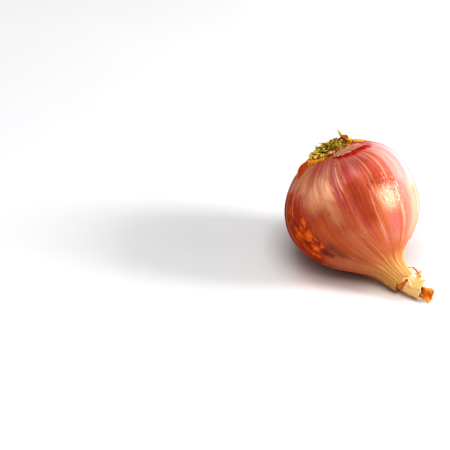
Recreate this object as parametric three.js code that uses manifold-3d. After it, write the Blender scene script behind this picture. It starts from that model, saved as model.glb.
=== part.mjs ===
// Pink shallot: a round bulb that lies on its belly, with its root plate raised on one side and
// its dried neck reaching down to the surface on the other.
//
// Millimetres, +Z up. The origin is the centre of the small flat spot under the belly, and +X
// runs along the surface towards the neck. Most pieces are placed by two coordinates of the
// bulb itself: along, in millimetres from the equator (negative to the roots, positive to the
// neck), and around, the angle about the bent axis (zero on top, a quarter turn towards +Y).

import * as THREE from 'three';
import { mergeVertices } from 'three/addons/utils/BufferGeometryUtils.js';
import Module from 'manifold-3d';

const DEG = Math.PI / 180;

// Bulb.
const BODY_RADIUS = 19.1;
const BODY_CENTRE = new THREE.Vector3(-0.1, -0.37, 18.66);
const ROOT_REACH = 16.3;            // the root half is flatter than the belly
const SHOULDER_SQUARENESS = 2.25;   // and a little squarer than an ellipse, which has 2
const LEAN = 39 * DEG;              // the axis dips by this much towards the neck
const ROOT_RISE = 4.55;             // the root end is drawn up and aside by these
const ROOT_ASIDE = 1.65;
const ROOT_NOD = 22.7 * DEG;        // and its sections turn by these
const ROOT_TURN = 6.1 * DEG;
const RIM_RADIUS = 6.35;            // edge of the skin round the root plate
const SEAT_RADIUS = 5.7;            // the shallow seat that the root plate sits in
const SEAT_DEPTH = 0.8;

// Neck.
const BEND_START = 16.7;            // the neck bends level between these
const BEND_END = 33.5;
const NECK_ASIDE = 0.45;
const FLANK_ASIDE = 0.45;           // the flank is fuller on its upper far side
const FLANK_ASIDE_AT = 57 * DEG;
const SHOULDER_END = 14.6;          // where the round belly gives way to the hollow flank
const FLANK_PULL = new THREE.Vector2(4.4, 20.5);
const FLANK_EASE = 4.3;
const THROAT = new THREE.Vector2(4.15, 24.5);
const MOUTH = new THREE.Vector2(3.35, 28);
const LIP_THICKNESS = 0.65;
const POCKET_FLOOR = 23.6;          // how far the dried sheath is rooted inside the mouth

// Low relief of the skin.
const PLEATS = 16;
const PLEAT_HALF_WIDTH = 9 * DEG;
const SKIN_COLUMNS = 90;
const SHOULDER_RINGS = 12;

// Root plate.
const PLATE_RADIUS = 5.7;
const PLATE_CROWN = 1.7;
const ROOT_THICKNESS = 0.62;
const ROOT_SIDES = 5;
const ROOT_STEPS = 4;

// Thin papery pieces.
const PAPER = 0.6;
const GAP = 0.32;                   // clear distance between pieces that touch

// Dried sheath and leaf end.
const SHEATH_END = new THREE.Vector3(26.6, 1.43, 2.8);
const SHEATH_END_RADIUS = 2.7;
const SHEATH_FLARE = 0.35;
const SHEATH_FLARE_AT = 25 * DEG;

const MATERIALS = {
  skin: material('#b2493a', 0.32),
  rootFibre: material('#7c7038', 0.9),
  orangeSkin: material('#c27a2c', 0.6),
  palePaper: material('#c08a76', 0.7),
  brownSkin: material('#8a3310', 0.5),
  tanSheath: material('#d19a5a', 0.65),
  driedLeaf: material('#a8520f', 0.75),
};

function material(color, roughness) {
  return new THREE.MeshStandardMaterial({ color, roughness, metalness: 0 });
}

const wasm = await Module();
wasm.setup();

// ---------------------------------------------------------------- small tools

/** Repeatable random numbers from 0 to 1. */
function seeded(seed) {
  let state = seed;
  return () => {
    state = (state + 0x6d2b79f5) | 0;
    let mixed = Math.imul(state ^ (state >>> 15), 1 | state);
    mixed = (mixed + Math.imul(mixed ^ (mixed >>> 7), 61 | mixed)) ^ mixed;
    return ((mixed ^ (mixed >>> 14)) >>> 0) / 4294967296;
  };
}

/** A smooth hump: 1 at distance 0, 0 from half width outward. */
function hump(distance, halfWidth) {
  const share = Math.min(1, Math.abs(distance) / halfWidth);
  return Math.cos((share * Math.PI) / 2) ** 2;
}

/** The smaller angle between two directions around the axis. */
function turnBetween(a, b) {
  return Math.atan2(Math.sin(a - b), Math.cos(a - b));
}

/** Merges a geometry's corners, drops collapsed triangles and turns its faces outward. */
function closedGeometry(source) {
  const bare = source.clone();
  bare.deleteAttribute('normal');
  bare.deleteAttribute('uv');
  const merged = mergeVertices(bare, 1e-4);
  const corners = merged.index.array;
  const position = merged.attributes.position;
  const [a, b, c] = [new THREE.Vector3(), new THREE.Vector3(), new THREE.Vector3()];
  const kept = [];
  let volume = 0;
  for (let i = 0; i < corners.length; i += 3) {
    const [p, q, r] = corners.slice(i, i + 3);
    if (p === q || q === r || r === p) continue;
    kept.push(p, q, r);
    a.fromBufferAttribute(position, p);
    b.fromBufferAttribute(position, q);
    c.fromBufferAttribute(position, r);
    volume += a.dot(b.cross(c));
  }
  if (volume < 0) kept.reverse();
  merged.setIndex(kept);
  return merged;
}

function toSolid(geometry) {
  const closed = closedGeometry(geometry);
  return new wasm.Manifold(new wasm.Mesh({
    numProp: 3,
    vertProperties: new Float32Array(closed.attributes.position.array),
    triVerts: new Uint32Array(closed.index.array),
  }));
}

function toGeometry(solid) {
  const mesh = solid.getMesh();
  const geometry = new THREE.BufferGeometry();
  geometry.setAttribute('position', new THREE.BufferAttribute(mesh.vertProperties, 3));
  geometry.setIndex(new THREE.BufferAttribute(mesh.triVerts, 1));
  return geometry;
}

/** A turned solid whose radius, height and angle are then placed by a rule. */
function turned(profile, columns, place) {
  const geometry = new THREE.LatheGeometry(profile, columns);
  const position = geometry.attributes.position;
  for (let i = 0; i < position.count; i += 1) {
    const radius = Math.hypot(position.getX(i), position.getZ(i));
    const around = Math.atan2(position.getX(i), position.getZ(i));
    const point = place(position.getY(i), around, radius);
    position.setXYZ(i, point.x, point.y, point.z);
  }
  return closedGeometry(geometry);
}

/** A thin closed sheet: place gives the point at u and v (0 to 1), on the under or upper face. */
function sheet(columns, rows, place) {
  const geometry = new THREE.BoxGeometry(1, 1, 1, columns, rows, 1);
  const position = geometry.attributes.position;
  for (let i = 0; i < position.count; i += 1) {
    const u = position.getX(i) + 0.5;
    const v = position.getY(i) + 0.5;
    const point = place(u, v, position.getZ(i) > 0 ? 1 : 0);
    position.setXYZ(i, point.x, point.y, point.z);
  }
  return closedGeometry(geometry);
}

/** Everything below the surface that the shallot rests on. */
function belowSurface() {
  const size = 100;
  return toSolid(new THREE.BoxGeometry(size, size, size).translate(0, 0, -size / 2));
}

// ---------------------------------------------------------------- the bent axis and the skin

/** Centre of the bulb's section at a distance along its axis, with the section's directions. */
function axisAt(along) {
  const ahead = new THREE.Vector3(Math.cos(LEAN), 0, -Math.sin(LEAN));
  const up = new THREE.Vector3(Math.sin(LEAN), 0, Math.cos(LEAN));
  const side = new THREE.Vector3(0, 1, 0);
  const centre = BODY_CENTRE.clone();
  if (along < 0) {
    const share = (along / ROOT_REACH) ** 2;
    centre.addScaledVector(ahead, along);
    centre.addScaledVector(up, ROOT_RISE * share).addScaledVector(side, ROOT_ASIDE * share ** 2);
    up.applyAxisAngle(side, ROOT_NOD * share);
    ahead.applyAxisAngle(side, ROOT_NOD * share);
    side.applyAxisAngle(up, ROOT_TURN * share);
    ahead.applyAxisAngle(up, ROOT_TURN * share);
    return { centre, up, side, ahead };
  }
  const fullness = FLANK_ASIDE * hump(along - 12, 10);
  centre.addScaledVector(up, fullness * Math.cos(FLANK_ASIDE_AT));
  centre.addScaledVector(side, fullness * Math.sin(FLANK_ASIDE_AT));
  if (along <= BEND_START) {
    centre.addScaledVector(ahead, along);
    return { centre, up, side, ahead };
  }
  const bend = LEAN / (BEND_END - BEND_START);
  const dip = LEAN - bend * (along - BEND_START);
  centre.addScaledVector(ahead, BEND_START);
  centre.x += (Math.sin(LEAN) - Math.sin(dip)) / bend;
  centre.z -= (Math.cos(dip) - Math.cos(LEAN)) / bend;
  centre.y += NECK_ASIDE * ((along - BEND_START) / 15) ** 2;
  up.set(Math.sin(dip), 0, Math.cos(dip));
  ahead.set(Math.cos(dip), 0, -Math.sin(dip));
  return { centre, up, side, ahead };
}

function outwardAt(section, around) {
  return section.up.clone().multiplyScalar(Math.cos(around))
    .addScaledVector(section.side, Math.sin(around));
}

function fromAxis(along, around, radius) {
  const section = axisAt(along);
  return section.centre.clone().addScaledVector(outwardAt(section, around), radius);
}

/** Radius of the smooth root half at a distance along the axis. */
function shoulderRadius(along) {
  return BODY_RADIUS * Math.sqrt(1 - Math.abs(along / ROOT_REACH) ** SHOULDER_SQUARENESS);
}

/** Distance along the axis where the root half has a given radius. */
function shoulderAlong(radius) {
  return -ROOT_REACH * (1 - (radius / BODY_RADIUS) ** 2) ** (1 / SHOULDER_SQUARENESS);
}

/** A point above the skin of the root half, by a lift square to the skin. */
function aboveShoulder(along, around, lift) {
  const section = axisAt(along);
  const radius = shoulderRadius(along);
  const steepness = (SHOULDER_SQUARENESS / 2) * Math.abs(along / ROOT_REACH) ** (SHOULDER_SQUARENESS - 1);
  const slope = new THREE.Vector2(radius / BODY_RADIUS ** 2, -steepness / ROOT_REACH).normalize();
  return section.centre.clone()
    .addScaledVector(outwardAt(section, around), radius + lift * slope.x)
    .addScaledVector(section.ahead, lift * slope.y);
}

const pleatAngles = (() => {
  const random = seeded(11);
  return Array.from({ length: PLEATS }, (_, i) => ({
    around: ((i + 0.7 * (random() - 0.5)) / PLEATS) * 2 * Math.PI,
    height: 0.5 + 0.5 * random(),
  }));
})();

/** Height of the skin's pleats: raised on the root shoulder, faint on the belly, deep on the neck. */
function pleatRelief(along, around) {
  const shoulder = 0.16 * hump(along + 9.5, 6);
  const belly = 0.05 * hump(along, 16);
  const neck = 0.22 * THREE.MathUtils.smoothstep(along, 15, 25);
  const shape = pleatAngles.reduce(
    (sum, pleat) => sum + pleat.height * hump(turnBetween(around, pleat.around), PLEAT_HALF_WIDTH),
    0,
  );
  return (shoulder + belly + neck) * shape;
}

/** How much the torn mouth is longer (or shorter) at each angle: a tongue, a tear and teeth. */
function mouthReach(around) {
  const tongue = 1.9 * hump(turnBetween(around, -12 * DEG), 11 * DEG);
  const tear = -3.3 * hump(turnBetween(around, 62 * DEG), 52 * DEG);
  const teeth = 0.22 * Math.sin(9 * around) + 0.16 * Math.sin(17 * around + 1);
  return tongue + tear + teeth - 0.2;
}

// ---------------------------------------------------------------- pieces

function bulbProfile() {
  const rimAlong = shoulderAlong(RIM_RADIUS);
  const flankSlope = SHOULDER_END / Math.sqrt(BODY_RADIUS ** 2 - SHOULDER_END ** 2);
  const flankStart = new THREE.Vector2(Math.sqrt(BODY_RADIUS ** 2 - SHOULDER_END ** 2), SHOULDER_END);
  const rootHalf = Array.from({ length: SHOULDER_RINGS + 1 }, (_, i) => {
    const along = rimAlong * Math.cos((Math.PI / 2) * (i / SHOULDER_RINGS));
    return new THREE.Vector2(shoulderRadius(along), along);
  });
  const belly = new THREE.EllipseCurve(
    0, 0, BODY_RADIUS, BODY_RADIUS, 0, Math.asin(SHOULDER_END / BODY_RADIUS),
  );
  const flank = new THREE.CubicBezierCurve(
    flankStart,
    new THREE.Vector2(flankStart.x - flankSlope * FLANK_EASE, SHOULDER_END + FLANK_EASE),
    FLANK_PULL,
    THROAT,
  );
  const neck = new THREE.LineCurve(THROAT, MOUTH);
  return [
    new THREE.Vector2(0, rimAlong + SEAT_DEPTH),
    new THREE.Vector2(SEAT_RADIUS / 2, rimAlong + SEAT_DEPTH),
    new THREE.Vector2(SEAT_RADIUS, rimAlong + SEAT_DEPTH),
    ...rootHalf,
    ...belly.getPoints(7).slice(1),
    ...flank.getPoints(9).slice(1),
    ...neck.getPoints(4).slice(1),
    new THREE.Vector2(0, MOUTH.y - 1),
  ];
}

/** The bulb and its tight outer skin, with the seat for the roots and the torn mouth. */
function makeBulb() {
  const skin = turned(bulbProfile(), SKIN_COLUMNS, (along, around, radius) => {
    const onSkin = radius > MOUTH.x - 0.1;
    const share = along > BEND_START ? (along - BEND_START) / (MOUTH.y - BEND_START) : 0;
    const reach = onSkin ? share * mouthReach(around) : 0;
    const relief = onSkin ? pleatRelief(along, around) : 0;
    return fromAxis(along + reach, around, radius + relief);
  });
  const pocketEnd = MOUTH.y + 4;
  const pocketRadius = MOUTH.x - LIP_THICKNESS;
  const pocket = turned([
    new THREE.Vector2(0, POCKET_FLOOR),
    new THREE.Vector2(pocketRadius, POCKET_FLOOR),
    new THREE.Vector2(pocketRadius, (POCKET_FLOOR + pocketEnd) / 2),
    new THREE.Vector2(pocketRadius, pocketEnd),
    new THREE.Vector2(0, pocketEnd),
  ], 24, fromAxis);
  return toGeometry(toSolid(skin).subtract(toSolid(pocket)).subtract(belowSurface()));
}

/** The plane of the root plate: height is measured outward from the skin's rim. */
function onPlate(radius, around, height) {
  const section = axisAt(shoulderAlong(RIM_RADIUS));
  return section.centre.clone()
    .addScaledVector(outwardAt(section, around), radius)
    .addScaledVector(section.ahead, -height);
}

/** A lump on the root plate: a squashed ball with an uneven surface. */
function plateLump(radius, around, height, size, flatness) {
  const ball = new THREE.SphereGeometry(size, 12, 8);
  const position = ball.attributes.position;
  const lump = new THREE.Vector3();
  const centre = onPlate(radius, around, height);
  const section = axisAt(shoulderAlong(RIM_RADIUS));
  for (let i = 0; i < position.count; i += 1) {
    lump.fromBufferAttribute(position, i);
    const uneven = 1 + 0.09 * Math.sin(2.7 * lump.x) * Math.cos(3.1 * lump.y + 1) * Math.sin(2.3 * lump.z);
    lump.multiplyScalar(uneven);
    const rise = Math.max(lump.y * flatness, -height - 0.25);
    const point = centre.clone()
      .addScaledVector(section.up, lump.x)
      .addScaledVector(section.side, lump.z)
      .addScaledVector(section.ahead, -rise);
    position.setXYZ(i, point.x, point.y, point.z);
  }
  return closedGeometry(ball);
}

/** One dried root: a thin five-sided stalk that leaves the plate and curls over. */
function rootStub(root) {
  const clearHeight = (radius) => {
    const skin = radius > RIM_RADIUS ? shoulderAlong(RIM_RADIUS) - shoulderAlong(radius) : 0;
    return skin + 2 * GAP + PAPER + ROOT_THICKNESS / 2 + 0.15;
  };
  const point = (share, droop) => {
    const run = root.length * share;
    const radius = root.radius + run * Math.sin(root.tilt);
    const around = root.around + (root.swirl * run) / Math.max(radius, 2);
    const rise = root.base + run * Math.cos(root.tilt) - droop;
    return onPlate(radius, around, radius > PLATE_RADIUS ? Math.max(rise, clearHeight(radius)) : rise);
  };
  const path = new THREE.CatmullRomCurve3([
    point(0, 0), point(0.4, -0.05 * root.length), point(0.75, root.curl * 0.4), point(1, root.curl),
  ]);
  const section = new THREE.Shape(Array.from({ length: ROOT_SIDES }, (_, i) => {
    const turn = (2 * Math.PI * i) / ROOT_SIDES;
    return new THREE.Vector2(Math.cos(turn), Math.sin(turn)).multiplyScalar(ROOT_THICKNESS / 2);
  }));
  return new THREE.ExtrudeGeometry(section, { steps: ROOT_STEPS, extrudePath: path, curveSegments: 1 });
}

const KNOB = { radius: 3.3, around: -12 * DEG, height: 1.1, size: 1.9, flatness: 0.95 };
const CLUMP = { radius: 4.6, around: 62 * DEG, height: 1.3, size: 1.25, flatness: 0.9 };
const CHIP_AROUND = -42 * DEG;
const CROWDED_AROUND = -13 * DEG;   // the flap and the flake leave little room for roots here
const CROWDED_HALF_ANGLE = 50 * DEG;

/** Where the roots grow: three rings, thickest at the edge, thin where the bare knob shows. */
function rootPlan() {
  const random = seeded(23);
  const rings = [
    { count: 26, radius: 4.6, tilt: 62, spread: 12, length: 2.0, base: 0.3, curl: 0.7 },
    { count: 18, radius: 3.6, tilt: 42, spread: 14, length: 1.9, base: 0.6, curl: 0.4 },
    { count: 9, radius: 2.1, tilt: 16, spread: 12, length: 1.4, base: 0.9, curl: 0.1 },
  ];
  const roots = rings.flatMap((ring) => Array.from({ length: ring.count }, (_, i) => {
    const around = ((i + 0.6 * (random() - 0.5)) / ring.count) * 2 * Math.PI;
    const crowded = Math.abs(turnBetween(around, CROWDED_AROUND)) < CROWDED_HALF_ANGLE;
    const tilt = (ring.tilt + ring.spread * (2 * random() - 1)) * DEG;
    return {
      around,
      radius: ring.radius - (crowded ? 0.4 : 0),
      tilt: crowded ? Math.min(tilt, 20 * DEG) : tilt,
      length: (crowded ? 0.65 : 1) * ring.length * (0.75 + 0.5 * random()),
      base: ring.base,
      curl: ring.curl * random(),
      swirl: 0.9 * (random() - 0.5),
    };
  })).filter((root) => Math.hypot(
    root.radius - KNOB.radius,
    KNOB.radius * turnBetween(root.around, KNOB.around),
  ) > KNOB.size * 0.85);
  const strays = [
    { around: 72 * DEG, radius: 4.7, tilt: 8 * DEG, length: 3.5, base: 0.6, curl: 0.1, swirl: 0.2 },
    { around: -142 * DEG, radius: 4.9, tilt: 52 * DEG, length: 2.6, base: 0.4, curl: 0.1, swirl: 0.2 },
  ];
  return [...roots, ...strays];
}

/** The corky plate at the root end, with its knob, its clump and all its dried root stubs. */
function makeRootPlate() {
  const profile = [
    [0, -0.34], [4.9, -0.34], [PLATE_RADIUS, 0.38], [5.3, 0.65], [4.2, 1.1], [2.6, 1.5], [0, PLATE_CROWN],
  ].map(([radius, height]) => new THREE.Vector2(radius, height));
  const plate = turned(profile, 30, (height, around, radius) => onPlate(radius, around, height));
  let solid = toSolid(plate)
    .add(toSolid(plateLump(KNOB.radius, KNOB.around, KNOB.height, KNOB.size, KNOB.flatness)))
    .add(toSolid(plateLump(CLUMP.radius, CLUMP.around, CLUMP.height, CLUMP.size, CLUMP.flatness)));
  for (const root of rootPlan()) solid = solid.add(toSolid(rootStub(root)));
  return toGeometry(solid);
}

/** The thin orange skin left round the root plate, open where the pink flap begins. */
function makeRootCollar() {
  const start = 38 * DEG;
  const end = (360 - 60) * DEG;
  return sheet(66, 2, (u, v, face) => {
    const around = start + (end - start) * u;
    const tongue = 2.3 * hump(turnBetween(around, 56 * DEG), 38 * DEG);
    const torn = 0.17 * Math.sin(23 * around) + 0.12 * Math.sin(41 * around + 2);
    const radius = RIM_RADIUS + 0.3 + v * (0.8 + tongue + torn);
    return aboveShoulder(shoulderAlong(radius), around, GAP + PAPER * face);
  });
}

/** The papery flap of old skin beside the roots, jagged at its free edge and lifted there. */
function makeShoulderFlap() {
  const start = -31 * DEG;
  const end = 29 * DEG;
  return sheet(30, 5, (u, v, face) => {
    const around = start + (end - start) * u;
    const inner = RIM_RADIUS + 0.35 + 2.8 * Math.max(0, (u - 0.6) / 0.4) ** 1.4;
    const width = 0.7 + 1.9 * Math.sin(Math.PI * (0.06 + 0.78 * u)) ** 0.7;
    const jagged = 0.17 * Math.sin(38 * u) + 0.13 * Math.sin(71 * u + 1);
    const lift = GAP + 0.1 + 0.45 * v * v;
    return aboveShoulder(shoulderAlong(inner + v * (width + jagged)), around, lift + PAPER * face);
  });
}

/** The brown scrap of old skin at the left shoulder, a lens shape lifted along its outer side. */
function makeShoulderScrap() {
  const top = { radius: 8.0, around: -120 * DEG };
  const tip = { radius: 12.3, around: -103 * DEG };
  const halfWidth = 1.9;
  return sheet(12, 6, (u, v, face) => {
    const across = (v - 0.5) * 2;
    const belly = halfWidth * Math.sin(Math.PI * (0.12 + 0.84 * u ** 0.8));
    const radius = top.radius + (tip.radius - top.radius) * u;
    const around = top.around + (tip.around - top.around) * u - (belly * across) / radius;
    const lift = GAP + 0.05 + 0.35 * v * v * Math.sin(Math.PI * u);
    return aboveShoulder(shoulderAlong(radius), around, lift + PAPER * face);
  });
}

/** The small flake of pink skin lying on the rim in front of the roots. */
function makeSkinChip() {
  const halfLength = 0.95;
  return sheet(8, 4, (u, v, face) => {
    const notch = 0.35 * hump(u - 0.55, 0.2) * v;
    const run = (u - 0.5) * 2 * halfLength;
    const radius = PLATE_RADIUS + 0.25 + 1.3 * v * (0.8 + 0.2 * Math.sin(5 * u)) - notch;
    const around = CHIP_AROUND + run / radius;
    const height = 0.72 - 0.3 * v + 0.08 * Math.sin(6 * u) + PAPER * face;
    return onPlate(radius + 0.25 * face, around, height);
  });
}

/** The curve that the dried sheath follows from inside the mouth to its open end. */
function sheathCurve() {
  const rooted = POCKET_FLOOR + GAP + 0.1;
  return new THREE.CatmullRomCurve3([
    axisAt(rooted).centre, axisAt(rooted + 2.3).centre, axisAt(rooted + 4.4).centre, SHEATH_END,
  ]);
}

/** A section square to the sheath's curve, at a share of its length. */
function sheathSection(share) {
  const curve = sheathCurve();
  const within = THREE.MathUtils.clamp(share, 0, 1);
  const ahead = curve.getTangentAt(within);
  const centre = curve.getPointAt(within).addScaledVector(ahead, (share - within) * curve.getLength());
  const side = new THREE.Vector3(0, 0, 1).cross(ahead).normalize();
  const up = ahead.clone().cross(side);
  return { centre, up, side, ahead };
}

/** The dried sheath: a dark inner collar at the mouth, then a tan tube that flares to its end. */
function makeNeckSheath() {
  const length = sheathCurve().getLength();
  const profile = [
    [0, 0], [1.8, 0], [2.15, 0.4], [2.2, 2.6], [2.25, 4.4], [2.2, 4.8],
    [1.9, 5.0], [1.9, 5.8], [2.1, 6.7], [2.35, 7.4], [2.55, length - 0.4],
    [SHEATH_END_RADIUS, length], [SHEATH_END_RADIUS - 0.62, length],
    [1.85, length - 0.85], [0, length - 0.85],
  ].map(([radius, distance]) => new THREE.Vector2(radius, distance));
  const tube = turned(profile, 36, (distance, around, radius) => {
    const flare = hump(turnBetween(around, SHEATH_FLARE_AT), 60 * DEG)
      * THREE.MathUtils.smoothstep(distance, length - 2, length) * THREE.MathUtils.smoothstep(radius, 1.8, 2.6);
    const ribs = 0.05 * Math.sin(12 * around) * THREE.MathUtils.smoothstep(radius, 1.6, 1.9);
    const section = sheathSection((distance + 0.5 * flare) / length);
    return section.centre.clone()
      .addScaledVector(outwardAt(section, around), radius + SHEATH_FLARE * flare + ribs);
  });
  return toGeometry(toSolid(tube).subtract(belowSurface()));
}

/** A strip along a path that stays broadside to a given direction. */
function strip(path, columns, width, facing) {
  return sheet(columns, 1, (u, v, face) => {
    const tangent = path.getTangent(u);
    const across = facing.clone().cross(tangent).normalize();
    const through = tangent.clone().cross(across);
    return path.getPoint(u)
      .addScaledVector(across, (v - 0.5) * width(u))
      .addScaledVector(through, (face - 0.5) * PAPER);
  });
}

/** The strip that curls away from the back of the mouth, with its broad torn end. */
function makeNeckCurl() {
  const strand = new THREE.CatmullRomCurve3([
    fromAxis(23.2, 98 * DEG, 5.3),
    fromAxis(24.2, 82 * DEG, 5.3),
    new THREE.Vector3(21.0, 4.5, 5.4),
    new THREE.Vector3(22.2, 4.3, 5.1),
    new THREE.Vector3(22.8, 3.9, 4.8),
    new THREE.Vector3(23.6, 4.3, 4.2),
  ]);
  const fan = new THREE.CatmullRomCurve3([
    new THREE.Vector3(23.1, 2.7, 5.0),
    new THREE.Vector3(22.9, 3.6, 5.1),
    new THREE.Vector3(22.5, 4.6, 5.4),
    new THREE.Vector3(22.9, 5.4, 5.2),
  ]);
  const facing = new THREE.Vector3(0.1, -0.3, 1);
  const strandSolid = toSolid(strip(strand, 14, (u) => 1.0 - 0.25 * u, facing));
  const fanSolid = toSolid(strip(fan, 8, (u) => 1.3 - 0.5 * u, facing));
  return toGeometry(strandSolid.add(fanSolid));
}

/** The wrinkled end of the dried leaves, two-lobed, rooted inside the sheath's open end. */
function makeDryLeafTip() {
  const lower = new THREE.SplineCurve([
    new THREE.Vector2(-0.45, -1.0), new THREE.Vector2(0.15, -1.55), new THREE.Vector2(1.3, -1.85),
    new THREE.Vector2(1.95, -1.95), new THREE.Vector2(2.6, -2.5), new THREE.Vector2(3.35, -1.5),
  ]);
  const upper = new THREE.SplineCurve([
    new THREE.Vector2(-0.45, 0.8), new THREE.Vector2(0.3, 0.85), new THREE.Vector2(1.7, 1.05),
    new THREE.Vector2(2.95, 1.3), new THREE.Vector2(3.7, 0.7),
  ]);
  const { centre, side, ahead } = sheathSection(1);
  const rise = new THREE.Vector3(0, 0, 1).addScaledVector(side, 0.42).normalize();
  const facing = ahead.clone().cross(rise).normalize();
  const blade = sheet(16, 8, (u, v, face) => {
    const outline = lower.getPoint(u).lerp(upper.getPoint(u), v);
    const crumple = 0.32 * Math.sin(7 * v + 3 * u) * u + 0.18 * Math.sin(11 * u + 4 * v) * u;
    const thick = 0.75 + 0.3 * Math.sin(Math.PI * v);
    return centre.clone()
      .addScaledVector(ahead, outline.x)
      .addScaledVector(rise, outline.y)
      .addScaledVector(facing, crumple + (face - 0.5) * thick);
  });
  return toGeometry(toSolid(blade).subtract(belowSurface()));
}

// ---------------------------------------------------------------- assembly

function piece(name, geometry, finish) {
  const mesh = new THREE.Mesh(geometry, finish);
  mesh.name = name;
  return mesh;
}

const shallot = new THREE.Group();
shallot.name = 'pink_shallot';
shallot.add(
  piece('bulb', makeBulb(), MATERIALS.skin),
  piece('root_plate', makeRootPlate(), MATERIALS.rootFibre),
  piece('root_collar', makeRootCollar(), MATERIALS.orangeSkin),
  piece('shoulder_flap', makeShoulderFlap(), MATERIALS.palePaper),
  piece('shoulder_scrap', makeShoulderScrap(), MATERIALS.brownSkin),
  piece('skin_chip', makeSkinChip(), MATERIALS.palePaper),
  piece('neck_sheath', makeNeckSheath(), MATERIALS.tanSheath),
  piece('neck_curl', makeNeckCurl(), MATERIALS.tanSheath),
  piece('dry_leaf_tip', makeDryLeafTip(), MATERIALS.driedLeaf),
);

export default shallot;
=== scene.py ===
"""Pink shallot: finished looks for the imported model, with its floor, lights and camera.

The bulb's own coordinates are used throughout: along, in millimetres from the equator
(negative to the roots, positive to the neck), and around, the angle about the bent axis
(zero on top, a quarter turn towards +Y). Shapes are worked out in millimetres in the row
frame and become metres when a mesh is placed.
"""

from __future__ import annotations

import logging
import math
import random
from dataclasses import dataclass, field
from enum import Enum
from typing import Callable, Iterable, Sequence, Union

import bmesh
import bpy
import numpy as np
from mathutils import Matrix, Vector

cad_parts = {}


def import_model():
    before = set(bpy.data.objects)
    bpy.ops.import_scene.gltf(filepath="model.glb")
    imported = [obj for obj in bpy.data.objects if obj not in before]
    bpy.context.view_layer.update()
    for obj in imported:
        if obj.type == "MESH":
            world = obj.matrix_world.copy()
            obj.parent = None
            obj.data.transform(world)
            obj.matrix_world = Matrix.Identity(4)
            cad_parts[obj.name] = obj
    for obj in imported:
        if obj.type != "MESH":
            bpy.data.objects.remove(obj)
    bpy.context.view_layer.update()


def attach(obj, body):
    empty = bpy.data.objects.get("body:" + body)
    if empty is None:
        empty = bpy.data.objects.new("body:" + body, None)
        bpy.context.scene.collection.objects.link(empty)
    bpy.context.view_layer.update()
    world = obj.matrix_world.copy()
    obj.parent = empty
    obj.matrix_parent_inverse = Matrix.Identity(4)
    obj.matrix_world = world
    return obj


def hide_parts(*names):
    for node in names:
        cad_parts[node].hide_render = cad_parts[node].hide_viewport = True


LOG = logging.getLogger("shallot")
MM = 0.001
TURN = 2 * math.pi

WAVE_FADE = 0.6
WAVE_STEP = 1.7
WAVE_SPREAD = (0.85, 1.15)

Array = np.ndarray
Point = Sequence[float]
Rule = Callable[[Array, Array], Array]
Socket = bpy.types.NodeSocket
Value = Union[bpy.types.NodeSocket, float, Sequence[float]]


# ------------------------------------------------------------------ small tools


def rad(degrees: float | Array) -> float | Array:
    """Degrees to radians."""
    return np.radians(degrees)


def hump(distance: Array, half_width: float | Array) -> Array:
    """A smooth hump: 1 at distance 0, 0 from the half width outward."""
    share = np.minimum(1.0, np.abs(distance) / half_width)
    return np.cos(share * np.pi / 2) ** 2


def smooth(value: Array, low: float, high: float) -> Array:
    """A smooth step from 0 at low to 1 at high."""
    share = np.clip((value - low) / (high - low), 0.0, 1.0)
    return share * share * (3 - 2 * share)


def turn(a: Array, b: float | Array) -> Array:
    """The smaller angle from b to a, both in radians."""
    return np.arctan2(np.sin(a - b), np.cos(a - b))


def ripple(x: Array, seed: int, waves: int = 5, base: float = 1.0) -> Array:
    """A smooth uneven line from -1 to 1 made of a few seeded waves.

    Args:
        x: Places along the line.
        seed: Picks the waves.
        waves: How many waves are summed, each finer than the last.
        base: Turns per unit of the coarsest wave.

    Returns:
        The height of the line at each place.
    """
    rng = random.Random(seed)
    total = np.zeros_like(x, dtype=float)
    weight = 0.0
    for i in range(waves):
        size = 1.0 / (1.0 + WAVE_FADE * i)
        rate = base * (WAVE_STEP**i) * rng.uniform(*WAVE_SPREAD)
        total += size * np.sin(TURN * rate * x + rng.uniform(0, TURN))
        weight += size
    return total / weight


def colour(code: str) -> tuple[float, float, float, float]:
    """A display colour such as #b2493a as the linear colour that shaders take."""
    parts = [int(code[i : i + 2], 16) / 255 for i in (1, 3, 5)]
    linear = [c / 12.92 if c <= 0.04045 else ((c + 0.055) / 1.055) ** 2.4 for c in parts]
    return (*linear, 1.0)


def unit(rows: Array) -> Array:
    """Rows of vectors scaled to length 1."""
    return rows / np.linalg.norm(rows, axis=1, keepdims=True)


def between(where: Array, steps: Array, rows: Array) -> Array:
    """Rows of values read at places between the steps they are given for."""
    return np.stack([np.interp(where, steps, column) for column in rows.T], 1)


def alike(*values: float | Array) -> Sequence[Array]:
    """Numbers and arrays as arrays of one length."""
    return np.broadcast_arrays(*(np.atleast_1d(np.asarray(v, dtype=float)) for v in values))


# ------------------------------------------------------------------ the bulb's form


@dataclass(frozen=True)
class Section:
    """Cross-sections of the bulb: centres and directions, one row per place."""

    centre: Array
    up: Array
    side: Array
    ahead: Array

    def outward(self, around: Array) -> Array:
        """Direction away from the axis at an angle around it."""
        return np.cos(around)[:, None] * self.up + np.sin(around)[:, None] * self.side


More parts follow.
